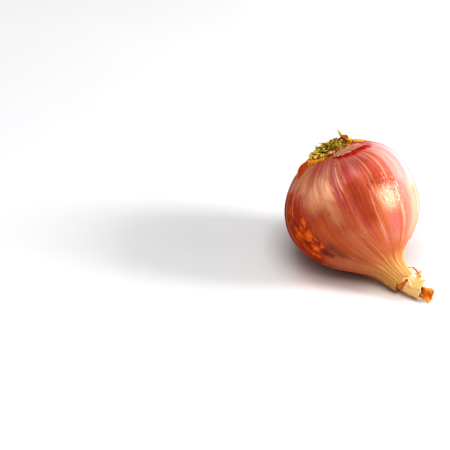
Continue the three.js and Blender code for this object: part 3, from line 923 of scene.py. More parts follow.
FRONT_MARKS = (
    # the tanned rim of the left shoulder, the rust below it and painted shade on the far left
    SkinMark(Tone.TAN, -100, 24, -14.8, -11.0, 1.2, 1.4),
    SkinMark(Tone.TAN, -84, 13, -13.8, -9.0, 1.1, 2.0, 6),
    SkinMark(Tone.RUST, -120, 42, -10.6, 10.0, 2.0, 2.0),
    SkinMark(Tone.RUST, -92, 17, -8.6, 9.5, 1.7, 2.4, 4),
    SkinMark(Tone.RUST, -78, 11, -5.0, 9.0, 0.6, 3.0, 2),
    # painted shade on the far left of the shoulder and belly, which faces away from the light
    SkinMark(Tone.UMBER_AND_SHADE, -114, 13, -9.5, -1.5, 0.55, 3.0),
    SkinMark(Tone.UMBER_AND_SHADE, -112, 20, 7.0, 15.0, 0.5, 4.0),
    # the pale band, partly dry skin and partly painted sheen, and its bright streak, a painted highlight
    # along the raised pleat
    SkinMark(Tone.TAN, -65, 19, -12.0, -2.0, 1.5, 4.0, 4),
    SkinMark(Tone.SIENNA, -69, 15, 0.0, 12.0, 1.1, 4.0),
    SkinMark(Tone.SIENNA, -54, 9, 5.0, 12.0, 0.7, 4.0),
    SkinMark(Tone.TAN, -54, 10, -4.0, 4.5, 0.9, 4.0),
    SkinMark(Tone.PALE, -55.0, 8.0, -11.0, -2.5, 0.75, 4.5, 5),
    SkinMark(Tone.PALE, -51.0, 4.5, -9.5, -4.0, 0.95, 4.0, 2),
    SkinMark(Tone.PALE, -57.0, 6.0, -4.5, 0.0, 0.3, 3.5, 4),
    SkinMark(Tone.PALE, -68, 8.0, -9.5, -4.0, 0.4, 3.5, 4),
    SkinMark(Tone.PALE, -80, 6.0, -12.0, -9.0, 0.35, 2.5, 3),
    SkinMark(Tone.ROSE, -61, 2.4, -14.9, -8.0, 0.5, 2.0, 2),
    SkinMark(Tone.ROSE, -69, 2.4, -14.5, -9.0, 0.5, 2.0, 4),
    SkinMark(Tone.ROSE, -56.5, 1.8, -14.8, -9.0, 0.4, 2.0),
    SkinMark(Tone.PALE, -50, 8.0, -14.0, -9.0, 0.35, 3.0),
    SkinMark(Tone.EMBER, -50, 6.0, 2.5, 8.0, 0.3, 3.0),
    # rose between the pale lines
    SkinMark(Tone.ROSE, -43.5, 5.5, -14.9, -6.0, 0.6, 3.0),
    SkinMark(Tone.ROSE, -43, 6.0, -6.0, 1.0, 0.85, 3.0),
    SkinMark(Tone.BLUSH, -41, 8.0, -14.0, -5.0, 0.55, 3.0),
    # painted highlight along the raised pleat
    SkinMark(Tone.PALE, -38.6, 1.0, -13.0, -3.0, 0.85, 2.5),
    SkinMark(Tone.PALE, -41.0, 0.8, -11.0, -1.0, 0.5, 2.5),
    # painted highlight along the raised pleat
    SkinMark(Tone.PALE, -33.5, 1.0, -14.0, -10.5, 0.5, 1.5),
    SkinMark(Tone.ROSE, -29.5, 5.5, -11.5, -3.5, 0.85, 3.0),
    SkinMark(Tone.EMBER, -29, 12, -4.5, 9.0, 1.0, 4.0, -2),
    SkinMark(Tone.ROSE, -36.5, 3.2, 1.0, 10.0, 0.9, 3.0),
    SkinMark(Tone.ROSE, -35, 2.5, 9.0, 14.0, 0.5, 3.0),
    SkinMark(Tone.BLUSH, -20, 9.0, -15.0, -5.0, 0.6, 3.0),
    SkinMark(Tone.ROSE, -19, 3.0, -12.5, -5.5, 0.55, 3.0),
    # between the top pleats
    SkinMark(Tone.BLUSH, -15.4, 1.2, -14.0, 2.0, 0.9, 2.0),
    SkinMark(Tone.ROSE, -12.6, 1.6, -13.5, -3.0, 0.6, 2.0),
    SkinMark(Tone.ROSE, -8, 6.0, -11.5, -4.0, 0.4, 3.0),
    SkinMark(Tone.EMBER, -8, 7.0, -4.5, 1.0, 0.6, 3.0),
    SkinMark(Tone.EMBER, -12, 11, -11.5, 0.5, 0.6, 3.0),
    SkinMark(Tone.BLUSH, -4, 5.0, -13.5, -9.5, 0.6, 2.0),
    SkinMark(Tone.ROSE, -0.8, 1.3, -12.0, 0.5, 0.75, 2.5),
    # painted highlight along the raised pleat
    SkinMark(Tone.PALE, 1.6, 0.9, -12.0, 0.0, 0.7, 2.5),
    SkinMark(Tone.BLUSH, 13, 12, -13.2, 3.0, 0.75, 2.5),
    SkinMark(Tone.ROSE, 6.3, 2.8, -12.0, -2.0, 0.55, 3.0),
    # painted highlights along the raised pleats
    SkinMark(Tone.PALE, 10.0, 0.9, -12.0, 1.5, 0.7, 2.5, 0.8),
    SkinMark(Tone.PALE, 17.0, 1.2, -9.5, 1.8, 0.6, 3.0, 2),
    SkinMark(Tone.BLUSH, 34, 20, -13.5, 4.0, 0.9, 4.0),
    # painted light: the right flank made paler where the light falls on it
    SkinMark(Tone.PAINTED_LIGHT, 22, 15, -13.0, 3.0, 0.5, 4.0, -2),
    SkinMark(Tone.PAINTED_LIGHT, 36, 17, -12.5, 5.0, 0.8, 4.0, -4),
    SkinMark(Tone.PAINTED_LIGHT, 36, 12, 5.0, 13.0, 0.4, 4.0, -2),
    SkinMark(Tone.ROSE, 24.5, 1.0, -12.0, -1.0, 0.4, 3.0),
    SkinMark(Tone.ROSE, 31, 1.1, -12.0, -3.0, 0.35, 3.0),
    SkinMark(Tone.ROSE, 27, 8, -14.5, -12.6, 0.8, 0.9),
    # round and below the bright window
    SkinMark(Tone.BLUSH, 18, 20, 2.0, 17.0, 0.85, 4.0),
    # painted highlight: a pale warm glow round the window's reflection
    SkinMark(Tone.PALE, -9, 13, 1.5, 8.0, 0.55, 3.5),
    SkinMark(Tone.ROSE, -6, 13, 8.5, 13.5, 0.5, 3.0),
    SkinMark(Tone.BLUSH, -10, 12, 8.5, 15.5, 0.6, 3.0),
    SkinMark(Tone.PALE, 2.5, 3.0, 7.5, 17.0, 0.45, 3.0),
    # painted highlight: a pale stripe beside the window's reflection
    SkinMark(Tone.PALE, 6.5, 1.3, 3.0, 8.0, 0.5, 2.0),
    # painted light: the right flank made paler cream where the light falls on it
    SkinMark(Tone.PALE, 36, 13, 3.0, 19.0, 0.55, 4.0),
    SkinMark(Tone.PALE, 24, 12, 3.0, 16.0, 0.5, 4.0),
    SkinMark(Tone.PALE, -18.2, 0.7, 1.0, 14.0, 0.55, 3.0, -3),
    SkinMark(Tone.PALE, -42, 0.8, 9.0, 18.0, 0.3, 3.0, 4),
    SkinMark(Tone.BLUSH, -25, 5.0, 9.5, 16.0, 0.4, 3.0),
    # the tanned left of the belly
    SkinMark(Tone.TAN, -56, 12, 7.0, 19.0, 0.3, 4.0),
    SkinMark(Tone.TAN, -84, 18, 13.0, 22.0, 0.5, 4.0),
    # the orange stain with its dark edges
    SkinMark(Tone.AMBER, -98, 14, -11.0, -3.0, 0.5, 2.5),
    SkinMark(Tone.AMBER, -93, 17.0, -2.0, 8.0, 0.62, 2.0),
    SkinMark(Tone.AMBER, -83, 4.5, -2.8, 0.6, 1.0, 1.2),
    SkinMark(Tone.AMBER, -86, 8.0, 0.5, 4.8, 1.2, 1.2, -2),
    SkinMark(Tone.AMBER, -84, 5.5, 3.8, 7.4, 0.95, 1.0),
    SkinMark(Tone.AMBER, -102, 9.0, -1.4, 5.0, 0.55, 2.0),
    SkinMark(Tone.AMBER, -102, 9.0, 4.6, 9.4, 0.6, 2.0),
    SkinMark(Tone.AMBER, -87, 4.0, 8.6, 12.0, 0.55, 1.2),
    SkinMark(Tone.AMBER, -79, 3.5, 9.8, 13.0, 0.45, 1.2),
    SkinMark(Tone.BRUISE, -77.4, 1.6, -2.0, 6.5, 0.6, 2.0, 1),
    SkinMark(Tone.BRUISE, -94.5, 2.2, -4.8, 0.8, 0.9, 1.4, 2.5),
    SkinMark(Tone.BRUISE, -86.0, 4.0, 4.3, 6.2, 0.6, 0.9),
    SkinMark(Tone.BRUISE, -107, 4.0, 3.4, 5.6, 0.7, 1.0),
    SkinMark(Tone.BRUISE, -87, 11.0, 7.0, 11.4, 0.7, 2.0),
    SkinMark(Tone.UMBER_AND_SHADE, -77, 9, 7.0, 13.0, 0.7, 3.0),
    SkinMark(Tone.AMBER, -93.5, 1.2, -1.0, -0.3, 1.3, 0.3),
    # lone dark spots
    SkinMark(Tone.UMBER_AND_SHADE, -35.3, 1.1, -7.9, -6.9, 0.8, 0.6),
    SkinMark(Tone.ROSE, -31, 1.4, -11.6, -10.4, 0.8, 0.6),
    SkinMark(Tone.UMBER_AND_SHADE, -17.8, 0.9, -0.8, 0.5, 0.6, 0.6),
    SkinMark(Tone.UMBER_AND_SHADE, -18.4, 1.0, 1.7, 2.6, 0.7, 0.6),
    SkinMark(Tone.UMBER_AND_SHADE, -22.8, 0.9, 4.0, 5.0, 0.5, 0.6),
    SkinMark(Tone.UMBER_AND_SHADE, -67.5, 1.0, 4.4, 5.2, 0.5, 0.5),
    SkinMark(Tone.UMBER_AND_SHADE, -50, 0.8, 5.0, 5.6, 0.5, 0.5),
    SkinMark(Tone.UMBER_AND_SHADE, -45, 1.0, 12.9, 13.6, 0.4, 0.5),
    SkinMark(Tone.UMBER_AND_SHADE, -17, 1.1, 9.7, 10.4, 0.5, 0.5),
    SkinMark(Tone.BRUISE, -7.5, 0.9, 7.6, 8.2, 0.5, 0.5),
    SkinMark(Tone.UMBER_AND_SHADE, -22, 1.0, 15.2, 15.8, 0.4, 0.5),
    # the red band under the flap: partly the torn edge of the skin beneath, partly painted shade under the
    # flap's edge
    SkinMark(Tone.HEM_SHADE, -37, 6, -16.2, -14.7, 3.0, 0.4),
    SkinMark(Tone.HEM_SHADE, -26, 10, -16.2, -14.1, 3.0, 0.5),
    SkinMark(Tone.HEM_SHADE, -16, 9, -16.2, -13.6, 3.0, 0.5),
    SkinMark(Tone.HEM_SHADE, -6, 9, -16.2, -13.1, 3.0, 0.5),
    SkinMark(Tone.HEM_SHADE, 4, 9, -16.2, -13.3, 3.0, 0.5),
    SkinMark(Tone.HEM_SHADE, 13, 8, -16.2, -13.0, 3.0, 0.5),
    SkinMark(Tone.HEM_SHADE, 20, 6, -15.0, -12.4, 1.5, 0.6),
)

FRONT_PLEATS = (
    Pleat(-72, 2.2, -13.5, -5.0, 0.06),
    Pleat(-61, 2.0, -14.0, -4.0, 0.07),
    Pleat(-50.5, 2.6, -14.0, 0.0, 0.10),
    Pleat(-38.6, 1.5, -14.5, 2.0, 0.10),
    Pleat(-33.5, 1.5, -14.5, -9.0, 0.06),
    Pleat(-25, 1.8, -14.5, -6.0, 0.05),
    Pleat(-15.4, 1.4, -14.5, 3.0, 0.08),
    Pleat(1.6, 1.4, -14.0, 0.0, 0.12),
    Pleat(10.2, 1.4, -13.5, 2.0, 0.15),
    Pleat(17.8, 1.6, -12.5, 1.5, 0.12),
    Pleat(29, 2.2, -12.5, 4.0, 0.08),
    Pleat(41, 2.4, -13.0, 2.0, 0.08),
)


@dataclass(frozen=True)
class SkinFinish:
    """The glossy skin's colours and surface values."""

    crown: str = "#c76c5a"
    belly: str = "#b2543a"
    lower: str = "#be6a40"
    flank: str = "#be6e48"
    straw: str = "#c8985e"
    # painted bounce light on the near side of the neck
    painted_bounce: str = "#e8a058"
    deep: str = "#983a20"
    pale: str = "#fac4a0"
    tan: str = "#d08b66"
    rose: str = "#b84a55"
    ember: str = "#983e1e"
    # dark spots, and painted shade on the far left
    umber_and_shade: str = "#742412"
    amber: str = "#de6404"
    bruise: str = "#6a2628"
    rust: str = "#b03c04"
    # painted light on the lit right flank
    painted_light: str = "#f2c8c8"
    blush: str = "#cc8c84"
    # partly the torn skin edge, partly painted shade under the flap
    hem_shade: str = "#c01606"
    sienna: str = "#c0581e"
    # painted shade between the neck's ribs
    groove_shade: str = "#a8703e"
    crest: str = "#f2dc9e"
    scorch: str = "#761404"
    flame: str = "#b03a04"
    glow: str = "#f48c0c"
    plum: str = "#7d2a3c"
    freckle: str = "#8e1c1c"
    inside: str = "#9a4a1c"
    roughness: float = 0.4
    coat: float = 0.62
    coat_roughness: float = 0.2

    def ground(self, g: Graph, growth: Socket, height: Socket, streak: Socket, hair: Socket) -> Socket:
        """The skin's own colour from root to neck, with its streaks, hairs and grain.

        Args:
            g: The material's graph.
            growth: The place on the skin, along its veins.
            height: The distance along the axis, in belly radii.
            streak: Broad noise drawn out along the veins.
            hair: Fine noise drawn out along the veins.

        Returns:
            The shade.
        """
        broad = g.noise(g.scaled(growth, (3.5, 3.5, 1.1)), 1.0, 4.0, 0.6, 0.3)
        share = g.node("ShaderNodeMapRange", {0: height, 1: -0.85, 2: 1.45}).outputs[0]
        stops = {0.0: self.crown, 0.22: self.crown, 0.38: self.belly, 0.6: self.lower}
        stops |= {0.78: self.flank, 0.94: self.straw}
        shade = g.ramp(g.plus(share, g.times(g.centred(broad), 0.22)), stops)
        grain = g.noise(g.object_place(), 1700.0, 3.0, 0.7)
        for noise, code, low, high, to_low, to_high in (
            (streak, self.deep, 0.4, 0.6, 0.26, 0.0),
            (streak, self.tan, 0.52, 0.75, 0.0, 0.22),
            (hair, self.deep, 0.54, 0.64, 0.0, 0.3),
            (hair, self.pale, 0.36, 0.45, 0.12, 0.0),
            (grain, self.deep, 0.3, 0.5, 0.22, 0.0),
            (grain, self.tan, 0.52, 0.75, 0.0, 0.2),
        ):
            shade = g.over(shade, code, g.spread(noise, low, high, to_low, to_high))
        return shade

    def marked(self, g: Graph, shade: Socket, streak: Socket, hair: Socket) -> Socket:
        """Lays the tones of the marks over the shade, broken up along the veins.

        Args:
            g: The material's graph.
            shade: What the tones are laid on.
            streak: Broad noise drawn out along the veins.
            hair: Fine noise drawn out along the veins.

        Returns:
            The new shade.
        """
        for tone, ragged in (
            (Tone.RUST, 0.3),
            (Tone.SIENNA, 0.35),
            (Tone.TAN, 0.5),
            (Tone.BLUSH, 0.35),
            (Tone.PAINTED_LIGHT, 0.25),
            (Tone.ROSE, 0.5),
            (Tone.EMBER, 0.5),
            (Tone.UMBER_AND_SHADE, 0.35),
            (Tone.PALE, 0.4),
            (Tone.HEM_SHADE, 0.2),
        ):
            lines = g.times(g.plus(g.centred(streak), g.centred(hair)), ragged * 2)
            mask = g.layer("tone_" + tone.value)
            broken = g.maths("MULTIPLY", mask, g.plus(lines, 0.95), clamp=True)
            shade = g.over(shade, getattr(self, tone.value), broken)
        return shade

    def stained(self, g: Graph, shade: Socket) -> Socket:
        """Lays the orange stain with its dark edges over the shade.

        Args:
            g: The material's graph.
            shade: What the stain is laid on.

        Returns:
            The new shade.
        """
        mottle = g.noise(g.object_place(), 500.0, 5.0, 0.62, 0.25)
        amber, bruise = g.layer("tone_amber"), g.layer("tone_bruise")
        heat = g.maths("SUBTRACT", g.plus(mottle, g.times(amber, 0.10)), g.times(bruise, 0.16))
        stops = {0.36: self.bruise, 0.44: self.scorch, 0.50: self.flame, 0.58: self.amber, 0.70: self.glow}
        reach = g.plus(g.maths("MAXIMUM", amber, bruise), g.times(g.centred(mottle), 0.8))
        return g.mix(g.spread(reach, 0.2, 0.75, 0.0, 0.95), shade, g.ramp(heat, stops))

    def material(self, effects: SharedEffects) -> bpy.types.Material:
        """Builds the material from the layers stored on the skin's mesh.

        Args:
            effects: The shared node groups.

        Returns:
            The material.
        """
        made, g, shader = new_material("shallot_skin")
        growth = g.layer("growth", 1)
        height = g.node("ShaderNodeSeparateXYZ", {0: growth}).outputs[2]
        spot = g.object_place()
        streak = g.noise(g.scaled(growth, (26, 26, 1.6), (3.0, 1.0, 0.0)), 1.0, 3.0, 0.6)
        hair = g.noise(g.scaled(growth, (95, 95, 3.0), (1.0, 7.0, 2.0)), 1.0, 2.0, 0.6)
        shade = self.ground(g, growth, height, streak, hair)
        shade = self.stained(g, self.marked(g, shade, streak, hair))
        dry = g.plus(height, g.times(g.centred(hair), 0.6))
        shade = g.over(shade, self.straw, g.spread(dry, 0.95, 1.4, 0.0, 0.85))
        # painted bounce light: the near side of the neck made paler straw
        shade = g.over(shade, self.painted_bounce, g.layer("painted_bounce"), 0.4)
        # painted shade in the hollows between the neck's ribs
        furrow_shade = g.times(g.layer("furrow_shade"), g.spread(streak, 0.35, 0.65))
        shade = g.over(shade, self.groove_shade, furrow_shade, 0.25)
        shade = g.over(shade, self.crest, g.layer("crest"), 0.5)
        calm = g.spread(g.layer("tone_rust"), 0.0, 1.0, 1.0, 0.25)
        lines, clouds = effects.fibres(g, g.scaled(growth, (1, 1, 0.035)), 70.0)
        veins = g.times(g.times(lines, g.spread(clouds, 0.35, 0.7)), calm)
        shade = g.over(shade, self.pale, veins, 0.14)
        dark = g.noise(g.scaled(growth, (60, 60, 2.2), (9.0, 4.0, 2.0)), 1.0, 2.0, 0.5)
        near_root = g.spread(height, -0.75, -0.3, 0.5, 0.14)
        purple = g.times(g.times(g.spread(dark, 0.56, 0.68), near_root), calm)
        shade = g.over(shade, self.plum, purple)
        shade = g.over(shade, self.freckle, effects.specks(g, spot, 260.0), 0.4)
        shade = g.over(shade, self.inside, g.layer("inside"))
        rough = g.plus(g.times(streak, 0.12), self.roughness - 0.06)
        raised = g.bump(g.plus(veins, g.times(streak, 1.2)), 0.035, 0.8)
        peel = g.noise(spot, 950.0, 2.5, 0.55)
        g.fill(shader, {
            "Base Color": shade,
            "Roughness": g.plus(rough, g.spread(height, 0.7, 1.25, 0.0, 0.3)),
            "Coat Weight": g.times(g.layer("gloss"), self.coat),
            "Coat Roughness": self.coat_roughness,
            "Specular IOR Level": 0.02,
            "Subsurface Weight": 0.2,
            "Subsurface Radius": (1.0, 0.25, 0.1),
            "Subsurface Scale": 4 * MM,
            "Normal": g.bump(peel, 0.12, 0.6, raised),
            "Coat Normal": g.bump(peel, 0.3, 1.0),
        })
        return made


@dataclass
class BulbSkin:
    """The bulb with its tight skin, the seat for the roots and the torn mouth."""

    columns: int = 600
    rows: tuple[int, int, int, int] = (46, 28, 30, 20)
    lip: float = 0.32
    seat_radius: float = 5.7
    seat_depth: float = 0.8
    pocket_floor: float = 24.6
    far_side: tuple[float, float] = (54.0, 272.0)
    far_marks: int = 46
    shoulder_lines: int = 20
    root_streaks: int = 64
    pleats: tuple[Pleat, ...] = FRONT_PLEATS
    marks: tuple[SkinMark, ...] = FRONT_MARKS
    finish: SkinFinish = SkinFinish()

    def __post_init__(self) -> None:
        """Adds the pleats and marks of the sides that the front lists leave bare."""
        rng = random.Random(5)
        pleats = []
        angle, last = self.far_side
        while angle < last:
            start = rng.uniform(-14.5, -11.5)
            end = rng.uniform(-5, 6)
            pleats.append(Pleat(angle, rng.uniform(1.5, 2.6), start, end, rng.uniform(0.05, 0.15)))
            angle += rng.uniform(8, 15)
        self.pleats = self.pleats + tuple(pleats)
        # painted highlights along the far side's raised pleats
        marks = [SkinMark(Tone.PALE, p.around, 1.2, p.start, p.end, 0.6, 2.5) for p in pleats]
        tones = (Tone.ROSE, Tone.EMBER, Tone.ROSE, Tone.TAN, Tone.EMBER, Tone.PALE)
        for _ in range(self.far_marks):
            tone = tones[rng.randrange(len(tones))]
            start = rng.uniform(-14.5, 6)
            end = start + rng.uniform(6, 16)
            around = rng.uniform(52, 236)
            half_width = rng.uniform(1.5, 8) * (0.4 if tone is Tone.PALE else 1)
            strength = rng.uniform(0.35, 0.85)
            slip = rng.uniform(-4, 4)
            marks.append(SkinMark(tone, around, half_width, start, end, strength, 3.0, slip))
        marks += self.root_lines()
        # a broad darker band on the underside
        marks.append(SkinMark(Tone.UMBER_AND_SHADE, 205, 45, -12.0, 15.0, 0.35, 5.0))
        marks.append(SkinMark(Tone.AMBER, 152, 8, 2.0, 7.0, 0.7, 2.0))
        marks.append(SkinMark(Tone.BRUISE, 146, 5, 4.0, 8.0, 0.6, 2.0))
        self.marks = self.marks + tuple(marks)

    def root_lines(self) -> list[SkinMark]:
        """Fine lines that run from the roots over the near shoulder.

        Returns:
            The marks.
        """
        rng = random.Random(19)
        lines = []
        for _ in range(self.shoulder_lines):
            start, angle = rng.uniform(-13.0, -8.5), rng.uniform(-66, -48)
            strength = rng.uniform(0.45, 0.9)
            end = start + rng.uniform(3.5, 7.5)
            lines.append(SkinMark(Tone.PALE, angle, rng.uniform(0.7, 1.4), start, end, strength, 3.0, 4))
        for i in range(self.root_streaks):
            tone = (Tone.ROSE, Tone.PALE)[i % 2]
            start = rng.uniform(-15.0, -11.0)
            angle = rng.uniform(-88, 24)
            end = start + rng.uniform(3.0, 9.0)
            strength = rng.uniform(0.15, 0.42)
            lines.append(SkinMark(tone, angle, rng.uniform(0.7, 1.2), start, end, strength, 2.0))
        return lines

    def profile(self) -> list[tuple[float, float]]:
        """The whole outline: seat, skin, rounded lip, and the wall and floor of the mouth.

        Returns:
            The outline's points as (radius, along).
        """
        rim = FORM.rim_along
        seat = rim + self.seat_depth
        skin = FORM.outline(self.rows)
        radius, end = skin[-1]
        rounded = ((0.15, 0.32), (0.5, 0.45), (0.85, 0.32))
        lip = [(radius - self.lip * inward, end + self.lip * beyond) for inward, beyond in rounded]
        depth = end - self.pocket_floor
        wall = [(radius - self.lip, end - t * depth) for t in np.linspace(0, 1, 10)]
        start = [(0.0, seat), (3.0, seat), (self.seat_radius, seat), (self.seat_radius + 0.3, rim + 0.4)]
        return start + skin + lip + wall + [(1.5, self.pocket_floor), (0.0, self.pocket_floor)]

    def reach(self, around: Array) -> Array:
        """How much longer the torn mouth is at each angle: a tear and teeth.

        Args:
            around: Angles about the axis.

        Returns:
            Lengths in millimetres.
        """
        tongue = 0.5 * hump(turn(around, rad(4)), rad(26))
        tear = -2.7 * hump(turn(around, rad(62)), rad(52))
        teeth = 0.13 * ripple(around / TURN, 3, 5, 9.0)
        fray = 0.08 * ripple(around / TURN, 8, 3, 37.0)
        near = -0.7 * hump(turn(around, rad(-70)), rad(75))
        return tongue + tear + teeth + fray + near - 1.15

    def ribs(self, around: Array) -> Array:
        """Height of the neck's ribs at each angle, from -1 to 1."""
        turns = around / TURN
        return 0.4 * ripple(turns, 21, 3, 9.0) + 0.6 * ripple(turns, 22, 3, 30.0)

    def relief(self, along: Array, around: Array) -> Array:
        """Height of pleats, neck ribs and unevenness, in millimetres, at places among the veins.

        Args:
            along: Distances from the equator.
            around: Angles about the axis.

        Returns:
            Heights in millimetres.
        """
        total = np.zeros_like(along)
        for pleat in self.pleats:
            span = smooth(along, pleat.start - 1, pleat.start + 2.5)
            span = span * (1 - smooth(along, pleat.end - 4, pleat.end + 3))
            total += pleat.height * span * hump(turn(around, rad(pleat.around)), rad(pleat.half_width))
        turns = around / TURN
        neck = smooth(along, 13.5, 23)
        total += neck * (0.12 * self.ribs(around) + 0.08)
        total += 0.035 * hump(along + 9, 9) * ripple(turns, 31, 4, 24.0)
        total += 0.06 * (1 - neck) * ripple(turns + 0.02 * along, 41, 3, 3.0) * hump(along, 18)
        return total

    def furrow_shades(self, along: Array, around: Array) -> Array:
        """Painted shade in the hollows between the neck's ribs, strongest on the near side, from 0 to 1."""
        low = smooth(-self.ribs(around), 0.05, 0.5)
        side = 0.35 + 0.65 * hump(turn(around, rad(-75)), rad(95))
        return low * smooth(along, 15, 21) * side

    def crests(self, along: Array, around: Array) -> Array:
        """Where the neck's ribs carry pale crests, from 0 to 1.

        Args:
            along: Distances from the equator.
            around: Angles about the axis.

        Returns:
            The strength of the crests.
        """
        turns = around / TURN
        ribs = 0.3 * ripple(turns, 21, 3, 9.0) + 0.7 * ripple(turns, 23, 2, 24.0)
        uneven = 0.65 + 0.35 * ripple(turns + 0.01 * along, 24, 3, 7.0)
        return smooth(ribs, 0.1, 0.5) * smooth(along, 15, 24) * uneven

    def gloss(self, along: Array, around: Array) -> Array:
        """How glossy the skin is: most on its upper half, least below and on the neck."""
        upper = 0.5 + 0.5 * np.cos(turn(around, rad(-10)))
        return smooth(upper, 0.45, 0.85) * (1 - smooth(along, 7, 15)) * smooth(along, -14, -9)

    def masks(self, along: Array, around: Array) -> dict[str, Array]:
        """The strength of every tone at each point.

        Args:
            along: Distances from the equator.
            around: Angles about the axis.

        Returns:
            One layer for each tone, by name.
        """
        layers = {tone: np.zeros_like(along) for tone in Tone}
        for mark in self.marks:
            share = np.clip((along - mark.start) / max(mark.end - mark.start, 0.1), 0, 1)
            middle = rad(mark.around + mark.slip * share)
            angle = around if mark.half_width < 2.0 else around + drift(along)
            span = smooth(along, mark.start - mark.fade / 2, mark.start + mark.fade / 2)
            span = span * (1 - smooth(along, mark.end - mark.fade / 2, mark.end + mark.fade / 2))
            here = np.minimum(mark.strength * span * hump(turn(angle, middle), rad(mark.half_width)), 1.0)
            layers[mark.tone] = np.maximum(layers[mark.tone], here)
        return {"tone_" + tone.value: layers[tone] for tone in Tone}

    def build(self, effects: SharedEffects) -> bpy.types.Object:
        """Builds and dresses the bulb.

        Args:
            effects: The shared node groups.

        Returns:
            The bulb's object.
        """
        mesh = turned(self.profile(), self.columns)
        radius, around, along = polar(mesh)
        wall = FORM.mouth[0] - self.lip * 1.02
        deep = (along > self.pocket_floor - 0.1) & (radius < wall + 0.03)
        deep &= radius < FORM.skin_radius(np.minimum(along, FORM.mouth[1])) - self.lip * 0.9
        seat = (along < FORM.rim_along + 1.2) & (radius < self.seat_radius + 0.4)
        stretch = np.clip((along - FORM.bend_start) / (FORM.mouth[1] - FORM.bend_start), 0, 1.1)
        height = self.relief(along, around)
        relief = np.where(~seat & ~deep, height, 0.0)
        fold = np.where(deep, 0.35 * height * smooth(along, 26, 28), 0.0)
        veins = around + drift(along)
        torn = ~seat & (along > FORM.bend_start) & ~(deep & (radius < wall - 0.4))
        reach = np.where(torn, stretch * self.reach(veins), 0.0)
        points = FORM.point(along + reach, veins, radius + relief + fold)
        points[:, 2] = np.maximum(points[:, 2], 0.0)
        layers = Layers(
            numbers={
                **self.masks(along, around),
                "furrow_shade": self.furrow_shades(along, around),
                "crest": self.crests(along, around),
                # painted bounce light on the near side of the neck
                "painted_bounce": hump(turn(around, rad(-72)), rad(45)) * smooth(along, 15, 22),
                "gloss": self.gloss(along, around),
                "inside": np.where(deep | seat, 1.0, 0.0),
            },
            vectors={"growth": np.stack([np.cos(around), np.sin(around), along / FORM.belly], 1)},
        )
        layers.write(mesh)
        place_closed(mesh, points)
        return piece("bulb_skin", mesh, self.finish.material(effects), "bulb")


# ------------------------------------------------------------------ dry finishes


@dataclass(frozen=True)
class PaperFinish:
    """A dry papery skin: two tones with fibres, and how rough and bumpy it is."""

    name: str
    light: str
    dark: str
    fibre: str
    stretch: tuple[float, float, float] = (6.0, 1.2, 1.0)
    fineness: float = 8.0
    roughness: float = 0.6
    relief_mm: float = 0.05
    edge: str | None = None

    def material(self, effects: SharedEffects) -> bpy.types.Material:
        """Builds the material from the sheet's own shares.

        Args:
            effects: The shared node groups.

        Returns:
            The material.
        """
        made, g, shader = new_material(self.name)
        spot = g.object_place()
        lines, clouds = effects.fibres(g, g.scaled(g.layer("share", 1), self.stretch), self.fineness)
        cloud = g.noise(spot, 700.0, 4.0, 0.6, 0.4)
        amount = g.plus(g.times(cloud, 0.6), g.times(clouds, 0.4))
        shade = g.over(colour(self.dark), self.light, g.spread(amount, 0.35, 0.65))
        shade = g.over(shade, self.fibre, lines, 0.45)
        if self.edge:
            shade = g.over(shade, self.edge, g.layer("edge"))
        height = g.plus(lines, g.noise(spot, 2500.0, 3.0))
        g.fill(shader, {
            "Base Color": shade,
            "Roughness": self.roughness,
            "Specular IOR Level": 0.25,
            "Coat Weight": 0.05,
            "Coat Roughness": 0.35,
            "Normal": g.bump(height, self.relief_mm, 0.8),
        })
        return made


@dataclass(frozen=True)
class FibreFinish:
    """Dried roots: colours from base to tip and from root to root."""

    name: str = "root_fibre"
    deep: str = "#3a2806"
    olive: str = "#a8861c"
    straw: str = "#f0d464"
    tip: str = "#fff6a4"

    def material(self) -> bpy.types.Material:
        """Builds the material from each strand's own values.

        Returns:
            The material.
        """
        made, g, shader = new_material(self.name)
        along, tone, spot = g.layer("share_along"), g.layer("tone"), g.object_place()
        cloud = g.noise(spot, 1100.0, 4.0, 0.6)
        amount = g.plus(tone, g.times(cloud, 0.5))
        body = g.over(colour(self.olive), self.straw, g.spread(amount, 0.35, 1.25))
        # painted shade: darker towards the base, among the packed stubs
        body = g.over(body, self.deep, g.spread(along, 0.0, 0.6, 0.9, 0.0))
        body = g.over(body, self.tip, g.times(g.spread(along, 0.55, 1.0), g.spread(tone, 0.2, 0.9)))
        lines = g.noise(spot, 3800.0, 2.0, 0.6)
        body = g.over(body, self.deep, g.spread(lines, 0.55, 0.75, 0.0, 0.5))
        g.fill(shader, {"Base Color": body, "Roughness": 0.62, "Normal": g.bump(lines, 0.06, 0.8)})
        return made


@dataclass(frozen=True)
class CorkFinish:
    """The corky plate and knob that the roots grow from."""

    name: str
    light: str
    dark: str
    scale: float = 1500.0
    speck: str = "#b7ac6a"

    def material(self, effects: SharedEffects) -> bpy.types.Material:
        """Builds the material from the piece's own place.

        Args:
            effects: The shared node groups.

        Returns:
            The material.
        """
        made, g, shader = new_material(self.name)
        spot = g.object_place()
        voronoi = g.node("ShaderNodeTexVoronoi", {"Vector": spot, "Scale": self.scale})
        cells = voronoi.outputs["Distance"]
        cloud = g.noise(spot, self.scale * 0.6, 4.0, 0.65, 0.5)
        amount = g.plus(g.times(cells, 0.5), g.times(cloud, 0.6))
        shade = g.over(colour(self.dark), self.light, g.spread(amount, 0.3, 0.75))
        shade = g.over(shade, self.speck, effects.specks(g, spot, self.scale * 0.8), 0.5)
        height = g.plus(cells, cloud)
        g.fill(shader, {"Base Color": shade, "Roughness": 0.75, "Normal": g.bump(height, 0.16, 0.9)})
        return made


# ------------------------------------------------------------------ the root end


